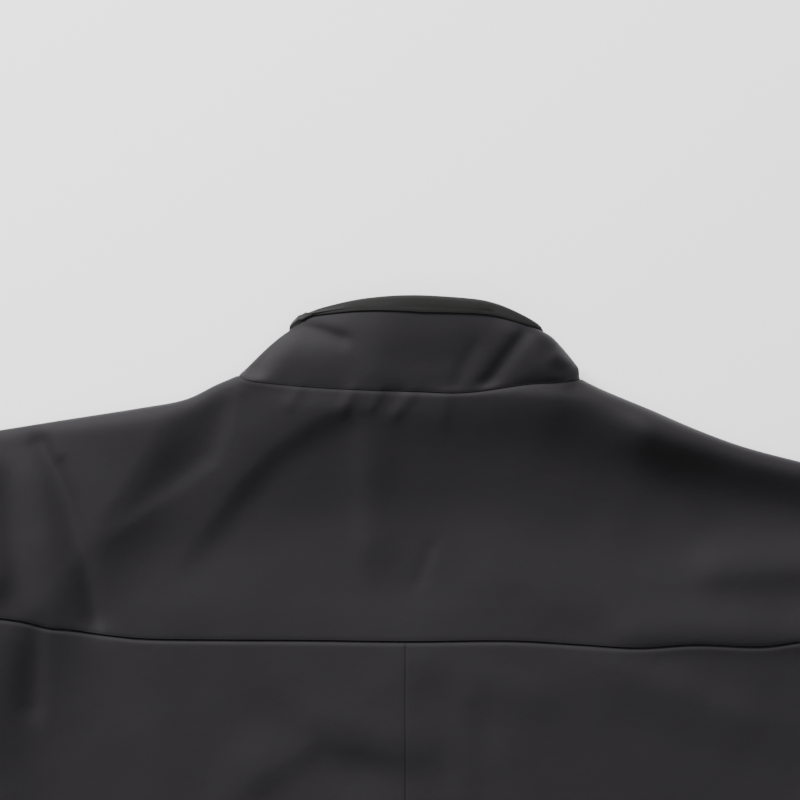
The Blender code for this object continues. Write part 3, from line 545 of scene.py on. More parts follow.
def rolled(points, normals, sewn):
    """Grid points with their sewn borders pressed inwards. `sewn` gives a depth share a border."""
    distances = border_distances(points)
    depth = np.zeros(points.shape[:2])
    for border, share in sewn.items():
        depth = np.maximum(depth, share * GROOVE_DEPTH * np.exp(-(distances[border] / GROOVE_WIDTH) ** 2))
    return points - normals * depth[..., None]


print("groove of a seam, m:", GROOVE_DEPTH, "deep")

# %% [markdown]
# Neighbouring points become quads, the same quads lie a wall's thickness below, and a rim closes
# the piece wherever a quad has no neighbour.

# %% Make the mesh of a piece
CREASE_ANGLE = math.radians(50)


def put_in_scene(name, data, place=(0.0, 0.0, 0.0)):
    """A new object in the scene, at a place."""
    made = bpy.data.objects.new(name, data)
    made.location = place
    bpy.context.scene.collection.objects.link(made)
    return made


def grid_faces(used, closed):
    """Quads between neighbouring grid points that are all in use, as rows of four indices."""
    rows, columns = used.shape
    index = np.arange(rows * columns).reshape(rows, columns)
    if closed:
        index = np.concatenate([index, index[:, :1]], axis=1)
        used = np.concatenate([used, used[:, :1]], axis=1)
    corners = [index[:-1, :-1], index[:-1, 1:], index[1:, 1:], index[1:, :-1]]
    present = used[:-1, :-1] & used[:-1, 1:] & used[1:, 1:] & used[1:, :-1]
    return np.stack([corner[present] for corner in corners], axis=1)


def add_mesh(name, verts, faces, finish, body="jacket"):
    """A piece from points in the garment's own plan, moved to the part's frame."""
    verts = np.array(verts, float)
    mesh = bpy.data.meshes.new(name)
    mesh.from_pydata((verts + np.array([0, Y_SHIFT, 0])).tolist(), [], [tuple(face) for face in faces])
    mesh.materials.append(finish)
    mesh.shade_smooth()
    made = put_in_scene(name, mesh)
    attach(made, body)
    return made


def cloth(name, points, normals, finish, thickness=WALL, used=None, closed=False, flip=False):
    """A closed wall of cloth under a grid of points on its outer face."""
    present = np.ones(points.shape[:2], bool) if used is None else used
    quads = grid_faces(present, closed)
    keep = np.unique(quads)
    place = np.zeros(present.size, int)
    place[keep] = np.arange(len(keep))
    shell = place[quads]
    if flip:
        shell = shell[:, ::-1]
    lining = shell[:, ::-1] + len(keep)
    edges = np.concatenate([shell[:, [i, (i + 1) % 4]] for i in range(4)])
    codes = edges[:, 0] * len(keep) + edges[:, 1]
    border = edges[~np.isin(codes, edges[:, 1] * len(keep) + edges[:, 0])]
    rims = np.hstack([border[:, ::-1], border + len(keep)])
    inner = points - normals * thickness
    verts = np.vstack([points.reshape(-1, 3)[keep], inner.reshape(-1, 3)[keep]])
    made = add_mesh(name, verts, np.vstack([shell, lining, rims]).tolist(), finish)
    made.data.set_sharp_from_angle(angle=CREASE_ANGLE)
    print(name, "faces:", len(made.data.polygons), "area m2:", round(area_of(points, quads), 4))
    return made


def bar_faces(first, sides, count):
    """Faces of a bar with closed ends. Its points are numbered from `first`, ring after ring."""
    rings = [[first + row * sides + j for j in range(sides)] for row in range(count)]
    faces = []
    for near, far in zip(rings, rings[1:]):
        faces += [(near[j], near[(j + 1) % sides], far[(j + 1) % sides], far[j]) for j in range(sides)]
    return faces + [tuple(rings[0][::-1]), tuple(rings[-1])]


def area_of(points, quads):
    """Area of the outer face of a piece."""
    a, b, c, d = [points.reshape(-1, 3)[quads[:, i]] for i in range(4)]
    return float(np.linalg.norm(np.cross(c - a, d - b), axis=1).sum() / 2)


print("wall of the body's cloth, m:", WALL)

# %% [markdown]
# ## Finishes
# The jacket's face cloth is a tightly woven synthetic: almost black, matte, with a faint sheen where
# light grazes it. The sheen matters most, because it is what shows the folds. The weave is far
# smaller than a pixel of the photograph, so it is a fine bump that only softens the highlights.

# %% Helpers for shader nodes
def group_with(name, inputs, outputs):
    """An empty shader node group with named float inputs, each with its value, and outputs."""
    group = bpy.data.node_groups.new(name, "ShaderNodeTree")
    for socket, value in inputs.items():
        made = group.interface.new_socket(socket, in_out="INPUT", socket_type="NodeSocketFloat")
        made.default_value = value
    for socket in outputs:
        group.interface.new_socket(socket, in_out="OUTPUT", socket_type="NodeSocketFloat")
    return group, group.nodes.new("NodeGroupInput"), group.nodes.new("NodeGroupOutput")


def feed(tree, node, inputs):
    """Set a node's inputs to values, or link them from sockets."""
    for name, value in inputs.items():
        if isinstance(value, bpy.types.NodeSocket):
            tree.links.new(value, node.inputs[name])
        else:
            node.inputs[name].default_value = value


def add_node(tree, kind, inputs, group=None):
    """A shader node with its inputs fed. A group node is told which group it stands for."""
    node = tree.nodes.new("ShaderNode" + kind)
    if group:
        node.node_tree = group
    feed(tree, node, inputs)
    return node


def math_node(tree, operation, first, second):
    """The result of a math node fed by sockets or numbers."""
    node = add_node(tree, "Math", {0: first, 1: second})
    node.operation = operation
    return node.outputs[0]


def new_finish(name):
    """A new material, its node tree and its shader."""
    made = bpy.data.materials.new(name)
    made.use_nodes = True
    return made, made.node_tree, made.node_tree.nodes["Principled BSDF"]


print("helpers for shader nodes are ready")

# %% [markdown]
# Two node groups serve every finish. One is a weave of crossed threads with uneven yarns, the other
# is a slow change of tone with small creases.

# %% Node groups
def weave_group():
    """Fine crossed threads with uneven yarns: a height and a mask of how open the weave is."""
    group, given, out = group_with(
        "fine weave", {"Threads per metre": 2000.0, "Unevenness": 0.3}, ["Height", "Mask"])
    place = group.nodes.new("ShaderNodeTexCoord").outputs["Object"]
    split = add_node(group, "SeparateXYZ", {0: place})
    turns = math_node(group, "MULTIPLY", given.outputs["Threads per metre"], 2 * math.pi)
    waves = []
    for axis in ("X", "Y"):
        phase = math_node(group, "MULTIPLY", split.outputs[axis], turns)
        waves.append(math_node(group, "SINE", phase, 0.0))
    crossed = math_node(group, "MULTIPLY", waves[0], waves[1])
    noise = add_node(group, "TexNoise", {"Scale": 900.0, "Detail": 3.0, "Vector": place})
    rough = math_node(group, "MULTIPLY", noise.outputs["Fac"], given.outputs["Unevenness"])
    # The node's third input keeps its 0.5, so the mask runs from 0 to 1.
    mask = math_node(group, "MULTIPLY_ADD", crossed, 0.5)
    feed(group, out, {"Height": math_node(group, "ADD", mask, rough), "Mask": mask})
    return group


def mottle_group():
    """Slow changes of tone over the cloth, as dye and wear give it, and small creases."""
    group, given, out = group_with(
        "cloth mottle", {"Patches per metre": 40.0, "Strength": 0.12}, ["Tone", "Height"])
    place = group.nodes.new("ShaderNodeTexCoord").outputs["Object"]
    slow = add_node(group, "TexNoise", {"Scale": given.outputs["Patches per metre"], "Detail": 4.0,
                                        "Vector": place})
    centred = math_node(group, "SUBTRACT", slow.outputs["Fac"], 0.5)
    tone = math_node(group, "MULTIPLY", centred, given.outputs["Strength"])
    fine = add_node(group, "TexNoise", {"Scale": 160.0, "Detail": 5.0, "Roughness": 0.62, "Vector": place})
    feed(group, out, {"Tone": math_node(group, "ADD", tone, 1.0), "Height": fine.outputs["Fac"]})
    return group


WEAVE = weave_group()
MOTTLE = mottle_group()
print("groups:", WEAVE.name, MOTTLE.name)

# %% [markdown]
# The outer cloth, the inner collar's knit, the zip's tape and the thread differ in colour, gloss,
# sheen and the size of their weave.

# %% Cloth finishes
SPECULAR = 0.12
SHEEN_ROUGHNESS = 0.45
SHEEN_TINT = (0.86, 0.82, 0.9, 1.0)


def cloth_finish(name, colour, roughness, sheen, threads, weave_height, crease_height):
    """A woven or knitted cloth: mottled colour, fine weave and crease bumps, and a soft sheen."""
    made, tree, shader = new_finish(name)
    weave = add_node(tree, "Group", {"Threads per metre": threads}, WEAVE)
    mottle = add_node(tree, "Group", {}, MOTTLE)
    tint = tree.nodes.new("ShaderNodeMix")
    tint.data_type = "RGBA"
    tint.blend_type = "MULTIPLY"
    feed(tree, tint, {"Factor": 1.0, "A": (*colour, 1.0), "B": mottle.outputs["Tone"]})
    fine = add_node(tree, "Bump", {"Distance": weave_height, "Height": weave.outputs["Height"]})
    soft = add_node(tree, "Bump", {"Distance": crease_height, "Height": mottle.outputs["Height"],
                                   "Normal": fine.outputs["Normal"]})
    feed(tree, shader, {"Base Color": tint.outputs["Result"], "Normal": soft.outputs["Normal"],
                        "Roughness": roughness, "Specular IOR Level": SPECULAR, "Sheen Weight": sheen,
                        "Sheen Roughness": SHEEN_ROUGHNESS, "Sheen Tint": SHEEN_TINT})
    return made


# Colour, roughness, sheen, threads a metre, height of the weave, height of the small creases
SHELL = cloth_finish("shell face", (0.0104, 0.0094, 0.0107), 0.70, 0.07, 1900.0, 0.05 * MM, 0.2 * MM)
INNER = cloth_finish("inner knit", (0.0135, 0.0138, 0.0132), 0.88, 0.10, 1100.0, 0.12 * MM, 0.3 * MM)
TAPE = cloth_finish("zip tape", (0.012, 0.012, 0.013), 0.75, 0.1, 1400.0, 0.08 * MM, 0.1 * MM)
THREAD = cloth_finish("sewing thread", (0.030, 0.028, 0.032), 0.55, 0.3, 2600.0, 0.03 * MM, 0.05 * MM)
print("cloth finishes:", SHELL.name, INNER.name, TAPE.name, THREAD.name)

# %% [markdown]
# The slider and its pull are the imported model's own meshes, in dark plated metal.

# %% Metal of the slider
def metal_finish(name, colour, roughness):
    """Dark plated metal with slight wear in its roughness."""
    made, tree, shader = new_finish(name)
    wear = add_node(tree, "Group", {"Patches per metre": 700.0, "Strength": 0.7}, MOTTLE)
    worn = math_node(tree, "MULTIPLY", wear.outputs["Tone"], roughness)
    feed(tree, shader, {"Metallic": 1.0, "Base Color": (*colour, 1.0), "Roughness": worn})
    return made


METAL = metal_finish("dark zip metal", (0.16, 0.16, 0.17), 0.34)
for node in ("zip_slider", "zip_pull"):
    solid = bpy.data.objects[node]
    solid.data.materials.clear()
    solid.data.materials.append(METAL)
print("metal nodes: zip_slider, zip_pull")

# %% [markdown]
# ## The yoke
# One piece of cloth covers the upper back and both shoulders and turns over each shoulder edge to a
# seam on the front. It is one grid: rows from the yoke seam up to the neck and shoulder edges, then
# more rows down the front, where the columns inside the neck are left out.

# %% Yoke
STEP = 2.0 * MM
SHOULDER_WIDTH = 0.150
NECK_WIDTH = 0.200
YOKE_DEPTH = 0.140
YOKE_EDGE_DEPTH = 0.25
PANEL_EDGE_DEPTH = 1.3
SEAM_OPEN = 0.9 * MM
NECK_GROOVE = 0.5
SHOULDER_POINTS = 300
YOKE_SEAM_POINTS = 600


def shoulder_line(side, across):
    """Points along the shoulder's folded edge, from the neck out, at shares of its width."""
    line = smooth_line(sided(SHOULDER[side], side), SHOULDER_POINTS)
    reach = np.abs(line[:, 0])
    wanted = reach[0] + across * (reach[-1] - reach[0])
    return np.stack([side * wanted, np.interp(wanted, reach, line[:, 1])], axis=1)


def seam_line(at_x):
    """Points on the yoke seam at the given x."""
    seam = smooth_line(np.array(YOKE_SEAM) * MM, YOKE_SEAM_POINTS)
    return np.stack([at_x, np.interp(at_x, seam[:, 0], seam[:, 1])], axis=1)


shoulder_shares = spaced(SHOULDER_WIDTH, STEP)
neck_shares = spaced(NECK_WIDTH, STEP)
left_shoulder = shoulder_line(-1, shoulder_shares)[::-1]
neck = smooth_line(np.array(NECK_SEAM) * MM, at=neck_shares)
right_shoulder = shoulder_line(1, shoulder_shares)
yoke_top = joined(left_shoulder, neck, right_shoulder)
yoke_across = (yoke_top[:, 0] - yoke_top[0, 0]) / (yoke_top[-1, 0] - yoke_top[0, 0])
yoke_bottom = seam_line(YOKE_SEAM[0][0] * MM + yoke_across * (YOKE_SEAM[-1][0] - YOKE_SEAM[0][0]) * MM)
yoke_up = spaced(YOKE_DEPTH, STEP)
yoke_sides = [np.outer(1 - yoke_up, yoke_bottom[i]) + np.outer(yoke_up, yoke_top[i]) for i in (0, -1)]
yoke_plan = patch(yoke_bottom, yoke_top, yoke_sides[0], yoke_sides[1], yoke_across, yoke_up)
turned_shares = spaced(FORWARD_SEAM, STEP)[1:] * FORWARD_SEAM
turned_plan = yoke_plan[-1][None] - np.stack([0 * turned_shares, turned_shares], axis=1)[:, None]
upper_points, upper_normals = on_layer(yoke_plan, True)
turned_points, turned_normals = on_layer(turned_plan, False)
first_neck, last_neck = len(left_shoulder) - 1, len(left_shoulder) + len(neck) - 2
print("yoke rows and columns:", yoke_plan.shape[:2], "and in front:", turned_plan.shape[:2])

# %% [markdown]
# The armhole edges are pressed in fully. The yoke seam's upper edge is only pressed a little,
# because the yoke lies over the back there, and the collar's foot stands in the neck's groove.

# %% Press the yoke's sewn edges in and make its mesh
upper_points = rolled(upper_points, upper_normals, {"bottom": YOKE_EDGE_DEPTH, "left": 1, "right": 1})
neck_depth = border_distances(upper_points)["top"][:, first_neck:last_neck + 1]
neck_pull = NECK_GROOVE * GROOVE_DEPTH * np.exp(-(neck_depth / GROOVE_WIDTH) ** 2)
inside_neck = np.s_[:, first_neck:last_neck + 1]
upper_points[inside_neck] -= upper_normals[inside_neck] * neck_pull[..., None]
turned_points = rolled(turned_points, turned_normals, {"top": 1, "left": 1, "right": 1})
yoke_points = np.concatenate([upper_points, turned_points])
yoke_normals = np.concatenate([upper_normals, turned_normals])
yoke_used = np.ones(yoke_points.shape[:2], bool)
yoke_used[len(yoke_plan):, first_neck + 1:last_neck] = False
yoke = cloth("back_yoke_cloth", yoke_points, yoke_normals, SHELL, used=yoke_used)
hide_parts("back_yoke")

# %% [markdown]
# ## Backs and fronts
# The back below the yoke is in two halves with a seam down the middle. The fronts mirror them on
# the underside and stop at the zip. Both are filled in two parts, hem to underarm and underarm to
# top, because the side seam and the armhole meet at a corner.

# %% Panels
PANEL_STEP = 4.0 * MM
PANEL_LOW = 0.408
BACK_HIGH = 0.150
FRONT_HIGH = 0.240
FRONT_SPLIT = 0.55
BACK_COLUMN = 2.6 * MM
FRONT_COLUMN = 5.0 * MM
ARM_POINTS = 400
across_panel = spaced(CHEST_HALF, BACK_COLUMN)
across_front = spaced(CHEST_HALF, FRONT_COLUMN)


def panel(side, centre_x, across, top_row, centre_high, armhole, upper, rows_above):
    """A panel's points and normals, and the row of its underarm."""
    rows_below = spaced(PANEL_LOW, PANEL_STEP if upper else 2 * PANEL_STEP, fine_end=False)
    side_line = smooth_line(sided(SIDE_SEAM, side)[::-1], at=rows_below)
    centre_low = np.stack([np.full(len(rows_below), side * centre_x),
                           -BACK_LENGTH + rows_below * (BACK_LENGTH - UNDERARM_DROP)], axis=1)
    share = across[:, None]
    hem = (1 - share) * centre_low[0] + share * side_line[0]
    chest = (1 - share) * centre_low[-1] + share * side_line[-1]
    low = patch(hem, chest, centre_low, side_line, across, rows_below)
    high = patch(chest, top_row, centre_high, armhole, across, rows_above)
    points, normals = on_layer(np.concatenate([low, high[1:]]), upper)
    # Down the side, the back's edge and the front's stay a seam's width apart.
    points[:len(low), -1, 2] += SEAM / 2 if upper else -SEAM / 2
    return points, normals, len(low) - 1


def back_panel(side):
    """One half of the back below the yoke."""
    rows = spaced(BACK_HIGH, STEP, fine_start=False)
    gap = np.array([0, SEAM_OPEN])
    corner = seam_line(np.array([side * ARMHOLE_LOWER[0][0] * MM]))[0] - gap
    armhole = smooth_line([corner] + list(sided(ARMHOLE_LOWER[1:], side)), at=1 - rows)
    middle = SEAM / 2
    top_row = seam_line(side * middle + across_panel * (armhole[-1, 0] - side * middle)) - gap
    centre = np.stack([np.full(len(rows), side * middle),
                       -UNDERARM_DROP + rows * (top_row[0, 1] + UNDERARM_DROP)], axis=1)
    return panel(side, middle, across_panel, top_row, centre, armhole, True, rows)


def front_panel(side):
    """One front, from the zip to the side seam and up to the forward shoulder seam."""
    top_row = shoulder_line(side, across_front) - np.array([0, FORWARD_SEAM + SEAM])
    neck_end = (side * top_row[0, 0] / MM, top_row[0, 1] / MM)
    low_rows = spaced(FRONT_HIGH * FRONT_SPLIT, 2 * PANEL_STEP, fine_start=False, fine_end=False)
    neck_rows = spaced(FRONT_HIGH * (1 - FRONT_SPLIT), 2 * PANEL_STEP, fine_start=False)
    neck_line = smooth_line(sided(FRONT_NECK + [neck_end], side), at=neck_rows)
    arm_end = (side * top_row[-1, 0] / MM, top_row[-1, 1] / MM)
    arm_table = ARMHOLE_LOWER[::-1] + [FRONT_ARMHOLE_MIDDLE, arm_end]
    arm_line = smooth_line(sided(arm_table, side), ARM_POINTS)
    rows = joined(low_rows * FRONT_SPLIT, FRONT_SPLIT + neck_rows * (1 - FRONT_SPLIT))
    armhole = read_off(arm_line, np.linspace(0, 1, ARM_POINTS), rows)
    centre_low = np.stack([np.full(len(low_rows), side * ZIP_HALF),
                           -UNDERARM_DROP + low_rows * (UNDERARM_DROP + neck_line[0, 1])], axis=1)
    centre = joined(centre_low, neck_line)
    return panel(side, ZIP_HALF, across_front, top_row, centre, armhole, False, rows)


print("columns across a back and a front:", len(across_panel), len(across_front))

# %% [markdown]
# The backs are pressed in along the yoke seam and the sides, and only slightly along the middle,
# where the photograph shows a faint line. The fronts lie flat on the table.

# %% Cut and lay the four panels
CENTRE_SEAM_DEPTH = 0.12
SIDE_SEAM_DEPTH = 0.8
BACK_EDGES = {"top": PANEL_EDGE_DEPTH, "left": CENTRE_SEAM_DEPTH, "right": SIDE_SEAM_DEPTH}
panels = {}
for side, word in ((-1, "left"), (1, "right")):
    points, normals, underarm = back_panel(side)
    panels["back", side] = (points, underarm)
    points = rolled(points, normals, BACK_EDGES)
    back = cloth("back_" + word + "_cloth", points, normals, SHELL, flip=side < 0)
    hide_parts("back_" + word)
    points, normals, underarm = front_panel(side)
    panels["front", side] = (points, underarm)
    front = cloth("front_" + word + "_cloth", points, normals, SHELL, flip=side > 0)
    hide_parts("front_" + word)

# %% [markdown]
# ## Sleeves
# A sleeve is a tube pressed flat. Its first ring has to follow the armhole exactly, so it is taken
# from the same edge lines as the yoke and the panels, moved a seam's width outwards.

# %% Sleeves
SLEEVE_STEP = 4.0 * MM
LEAST_CROSSING = 0.35
HEAD_LENGTH = 0.27
HEAD_COLUMNS = 60
SLEEVE_HEAD_DEPTH = 0.9


def beside_armhole(ring, side, top_way, under_way):
    """The armhole's edge moved a seam's width towards the sleeve, along the folds at its two ends."""
    out = turned_right(unit(np.gradient(ring, axis=0)))
    out *= np.sign(out[:, :1]) * side
    moved = ring + out * SEAM
    for end, way in ((0, top_way), (-1, under_way)):
        way = unit(way)
        moved[end] = ring[end] + way * SEAM / max(abs(float(way @ out[end])), LEAST_CROSSING)
    return moved


def even_ring(line):
    """A line taken again at the spacing of a sleeve's columns."""
    shares = spaced(HEAD_LENGTH, HEAD_LENGTH / HEAD_COLUMNS)
    return read_off(line, shares_along(line), shares)


def sleeve(side):
    """One sleeve as a closed grid: the upper layer, then the lower one back again."""
    top_edge, under_edge = sleeve_edges(side)
    outer, inner = sleeve_corners(side)
    down = spaced(SLEEVE_LENGTH, SLEEVE_STEP)
    top = smooth_line(top_edge, at=down)
    under = smooth_line(under_edge, at=down)
    column = 0 if side < 0 else -1
    back, back_underarm = panels["back", side]
    front, front_underarm = panels["front", side]
    upper = np.vstack([yoke_plan[:, column][::-1], back[back_underarm:-1, -1, :2][::-1]])
    lower = np.vstack([yoke_plan[-1:, column], turned_plan[:, column],
                       front[front_underarm:-1, -1, :2][::-1]])
    layers = []
    for ring, is_upper in ((upper, True), (lower, False)):
        near = beside_armhole(even_ring(ring), side, top[1] - top[0], under[1] - under[0])
        across = shares_along(near)
        far = (1 - across)[:, None] * outer + across[:, None] * inner
        edge_top = np.vstack([near[:1], top[1:]])
        edge_under = np.vstack([near[-1:], under[1:]])
        points, normals = on_layer(patch(near, far, edge_top, edge_under, across, down), is_upper)
        layers.append((rolled(points, normals, {"bottom": SLEEVE_HEAD_DEPTH}), normals))
    (high, high_normals), (low, low_normals) = layers
    return (np.concatenate([high, low[:, -2:0:-1]], axis=1),
            np.concatenate([high_normals, low_normals[:, -2:0:-1]], axis=1))


for side, word in ((-1, "left"), (1, "right")):
    points, normals = sleeve(side)
    made = cloth("sleeve_" + word + "_cloth", points, normals, SHELL,
                 closed=True, flip=side < 0)
    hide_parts("sleeve_" + word)

# %% [markdown]
# ## The collar
# The collar is a straight strip sewn round the neck. Laid down, it stands up in an arch at the back
# and lies nearly flat at the front. Each column of its grid runs from the neck seam to the rim, and
# creases are added along the normals, only on the part that stands. The inner collar comes over the
# rim and ends in a narrow band outside.

# %% Collar grid
COLLAR_STEP = 1.6 * MM
COLLAR_HEIGHT = 0.055
FRONT_NECK_LENGTH = 0.120
BELLY = 1.6 * MM
COLLAR_WALL = 1.0 * MM
INNER_WALL = 0.7 * MM
INNER_GAP = 0.15 * MM
RIM_CREASE = 0.2
RIM_DROP = 2.2 * MM
SMOOTH_COLUMNS = 13
SMOOTH_ABOVE = 4 * MM
TURNED_IN_DEEP = 2.1 * MM
TURNED_IN_BACK = 2.2 * MM
FORWARD_POINTS = 14


def neck_path():
    """Points and normals round the neck edge, from zip to zip: left front, back and right front."""
    stretches = []
    for side in (-1, 1):
        corner = shoulder_line(side, np.array([0.0]))[0]
        seam_end = corner - np.array([0, FORWARD_SEAM + SEAM])
        table_end = (side * seam_end[0] / MM, seam_end[1] / MM)
        front_line = smooth_line(sided(FRONT_NECK + [table_end], side),
                                 at=spaced(FRONT_NECK_LENGTH, COLLAR_STEP, fine_end=False))
        turned = np.linspace(seam_end, corner, FORWARD_POINTS)[1:-1]
        stretches.append(on_layer(np.vstack([front_line, turned]), False))
    back_columns = int(NECK_WIDTH / COLLAR_STEP) + 1
    middle = on_layer(smooth_line(np.array(NECK_SEAM) * MM, back_columns), True)
    (left, left_normals), (right, right_normals) = stretches
    return (left, middle[0], right[::-1]), (left_normals, middle[1], right_normals[::-1])


def grid_normals(grid):
    """Unit normals of the points of an open grid, from the faces around them."""
    points = grid.reshape(-1, 3)
    faces = grid_faces(np.ones(grid.shape[:2], bool), False)
    a, b, c, d = [points[faces[:, i]] for i in range(4)]
    crossed = np.cross(c - a, d - b)
    normals = np.zeros_like(points)
    for i in range(4):
        np.add.at(normals, faces[:, i], crossed)
    return unit(normals).reshape(grid.shape)


(left_neck, back_neck, right_neck), neck_normals = neck_path()
knots = shares_along(curve_through(RIM))[::CURVE_STEPS]
first, last = knots[RIM_LEFT_FOLD], knots[RIM_RIGHT_FOLD]
rim_shares = np.concatenate([
    shares_along(np.vstack([left_neck, back_neck[:1]]))[:-1] * first,
    first + shares_along(back_neck) * (last - first),
    last + shares_along(np.vstack([back_neck[-1:], right_neck]))[1:] * (1 - last)])
rim = smooth_line(np.array(RIM) * MM, at=rim_shares)
base = np.vstack([left_neck, back_neck, right_neck])
base_normals = np.vstack(neck_normals)
print("collar columns:", len(base), "of them at the back:", len(back_neck))

# %% [markdown]
# The collar's foot stands a seam's width from the neck edge. From it, each column runs straight to
# the rim. Its last rows are the part that the inner collar's band covers: widest at the back and
# narrow at the front. A short way above the seam the foot is smoothed, so that the puckers under
# the neck seam don't run up the collar as streaks.

# %% Collar surface
BAND_STEP = 1 * MM
towards = unit(np.cross(np.gradient(base, axis=0), base_normals))
towards *= np.sign(np.sum(towards * (rim - base), axis=1, keepdims=True))
foot = base + towards * COLLAR_SEAM
reach = np.linalg.norm(rim - foot, axis=1)
rim = foot + (rim - foot) * (1 - RIM_DROP / reach)[:, None]
reach = reach - RIM_DROP
middle_column = len(left_neck) + (len(back_neck) - 1) / 2
from_middle = np.abs(np.arange(len(base)) - middle_column)
near_middle = np.clip(1 - from_middle / (BAND_REACH * len(back_neck)), 0, 1)
band = (BAND_AT_FRONT + (BAND_AT_BACK - BAND_AT_FRONT) * np.sqrt(near_middle)) / reach
below_band = spaced(COLLAR_HEIGHT, COLLAR_STEP)[:, None] * (1 - band)[None]
in_band = 1 - band[None] * (1 - spaced(BAND_AT_BACK, BAND_STEP)[1:, None])
collar_up = np.vstack([below_band, in_band])
collar = foot[None] + collar_up[..., None] * (rim - foot)[None]
smoother = np.hanning(2 * SMOOTH_COLUMNS + 3)[1:-1]
padded_foot = np.pad(foot[:, 2], SMOOTH_COLUMNS, mode="edge")
smooth_foot = np.convolve(padded_foot, smoother / smoother.sum(), "valid")
smoothed = (1 - np.exp(-(collar_up * reach[None] / SMOOTH_ABOVE) ** 2)) * (1 - collar_up)
collar[..., 2] += smoothed * (smooth_foot - foot[:, 2])[None]
normals = grid_normals(collar)
lean = (rim - foot) / reach[:, None]
normals = unit(normals - lean * np.sum(normals * lean, axis=-1, keepdims=True))
print("band of the inner collar, mm:", ((band * reach)[[0, int(middle_column), -1]] / MM).round(1))

# %% [markdown]
# Belly and creases are only added where the collar stands, and they fade out at the foot and under
# the band. Two rows below the foot turn the cloth in under the neck seam, so the seam is dark.

# %% Belly and creases of the collar
FOLD_COLUMNS = 3.5
FADE_AT_BAND = 10 * MM
FADE_AT_FOOT = 3 * MM
COLLAR_GROOVE = 0.2
WAVE_STRETCH = 1.3
columns = np.arange(len(base)) - len(left_neck)
standing = (1 / (1 + np.exp(-columns / FOLD_COLUMNS))
            * 1 / (1 + np.exp((columns - len(back_neck)) / FOLD_COLUMNS)))
from_foot = collar_up * reach[None]
from_band = (collar_up - 1 + band) * reach
near_band = np.clip(1 + from_band / FADE_AT_BAND, 0, 1)
settled = (1 - np.exp(-(from_foot / FADE_AT_FOOT) ** 2)) * (1 - (1 - RIM_CREASE) * near_band ** 2)
crease = sum(ridge(collar[..., 0], collar[..., 1], fold) for fold in COLLAR_CREASES.values())
crease = crease + unevenness(collar[..., 0] * WAVE_STRETCH, collar[..., 2] + collar[..., 1])
belly = BELLY * np.sin(np.pi * collar_up)
dip = np.exp(-(from_band / GROOVE_WIDTH) ** 2)
groove = GROOVE_DEPTH * COLLAR_GROOVE * (np.exp(-(from_foot / GROOVE_WIDTH) ** 2) + dip)
collar = collar + normals * ((crease * settled + belly) * standing - groove)[..., None]
outer_normals = grid_normals(collar)
under_foot = foot - base_normals * TURNED_IN_DEEP
turned_in = np.stack([under_foot - towards * TURNED_IN_BACK, under_foot])
collar_piece = cloth("collar_outer_cloth", np.concatenate([turned_in, collar]),
                     np.concatenate([outer_normals[[0, 0]], outer_normals]),
                     SHELL, thickness=COLLAR_WALL)
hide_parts("collar_outer")

# %% [markdown]
# The inner collar follows the outer one: up the inside, round the rim in a half circle, and down
# the outside to the seam. Its edge dips into the same groove as the outer cloth does, which leaves
# the dark line that the photograph shows under the band.

# %% Inner collar
RIM_TURNS = np.radians([0, 22, 45, 68, 90, 112, 135, 158, 180])
BAND_DIP = 0.4
band_start = len(below_band) - 1
rim_line, rim_normals = collar[-1], outer_normals[-1]
inner_rows = list(collar[:-1] - outer_normals[:-1] * (COLLAR_WALL + INNER_GAP + INNER_WALL))
radius = COLLAR_WALL / 2 + INNER_GAP + INNER_WALL
for angle in RIM_TURNS:
    depth = radius * math.cos(angle) + COLLAR_WALL / 2
    inner_rows.append(rim_line - rim_normals * depth + lean * radius * math.sin(angle))
for row in range(len(collar) - 2, band_start - 1, -1):
    proud = INNER_GAP + INNER_WALL * (1 - BAND_DIP * dip[row])
    inner_rows.append(collar[row] + outer_normals[row] * proud[:, None])
facing = np.array(inner_rows)
facing_piece = cloth("collar_facing_cloth", facing, grid_normals(facing), INNER,
                     thickness=INNER_WALL, flip=True)
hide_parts("collar_facing")

# %% [markdown]
# ## Seam allowances
# Inside the garment, the edges of each seam lie under the cloth on both sides of it. They close the
# narrow gap of the seam, so it reads as a dark line and no light comes through. Each is a strip that
# follows its seam a wall's thickness below the surface.

# %% Strips under the seams
ALLOWANCE_HALF = 6.0 * MM
ALLOWANCE_UNDER = 2.9 * MM
ALLOWANCE_WALL = 0.8 * MM
ALLOWANCE_ACROSS = np.linspace(-1, 1, 7)
SEAM_TRIM = 10 * MM
YOKE_STRIP_POINTS = 220
CENTRE_STRIP_POINTS = 160
NECK_STRIP_POINTS = 110
NECK_TRIM = 0.04
NECK_INWARDS = 0.8


def allowance(line, inwards):
    """Points and normals of a strip under a seam of the upper layer; `inwards` keeps it to one side."""
    sideways = turned_right(unit(np.gradient(line, axis=0)))
    across = (ALLOWANCE_ACROSS + inwards)[:, None, None] * ALLOWANCE_HALF
    points, ways = on_layer(line[None] + across * sideways[None], True)
    return points - ways * ALLOWANCE_UNDER, ways


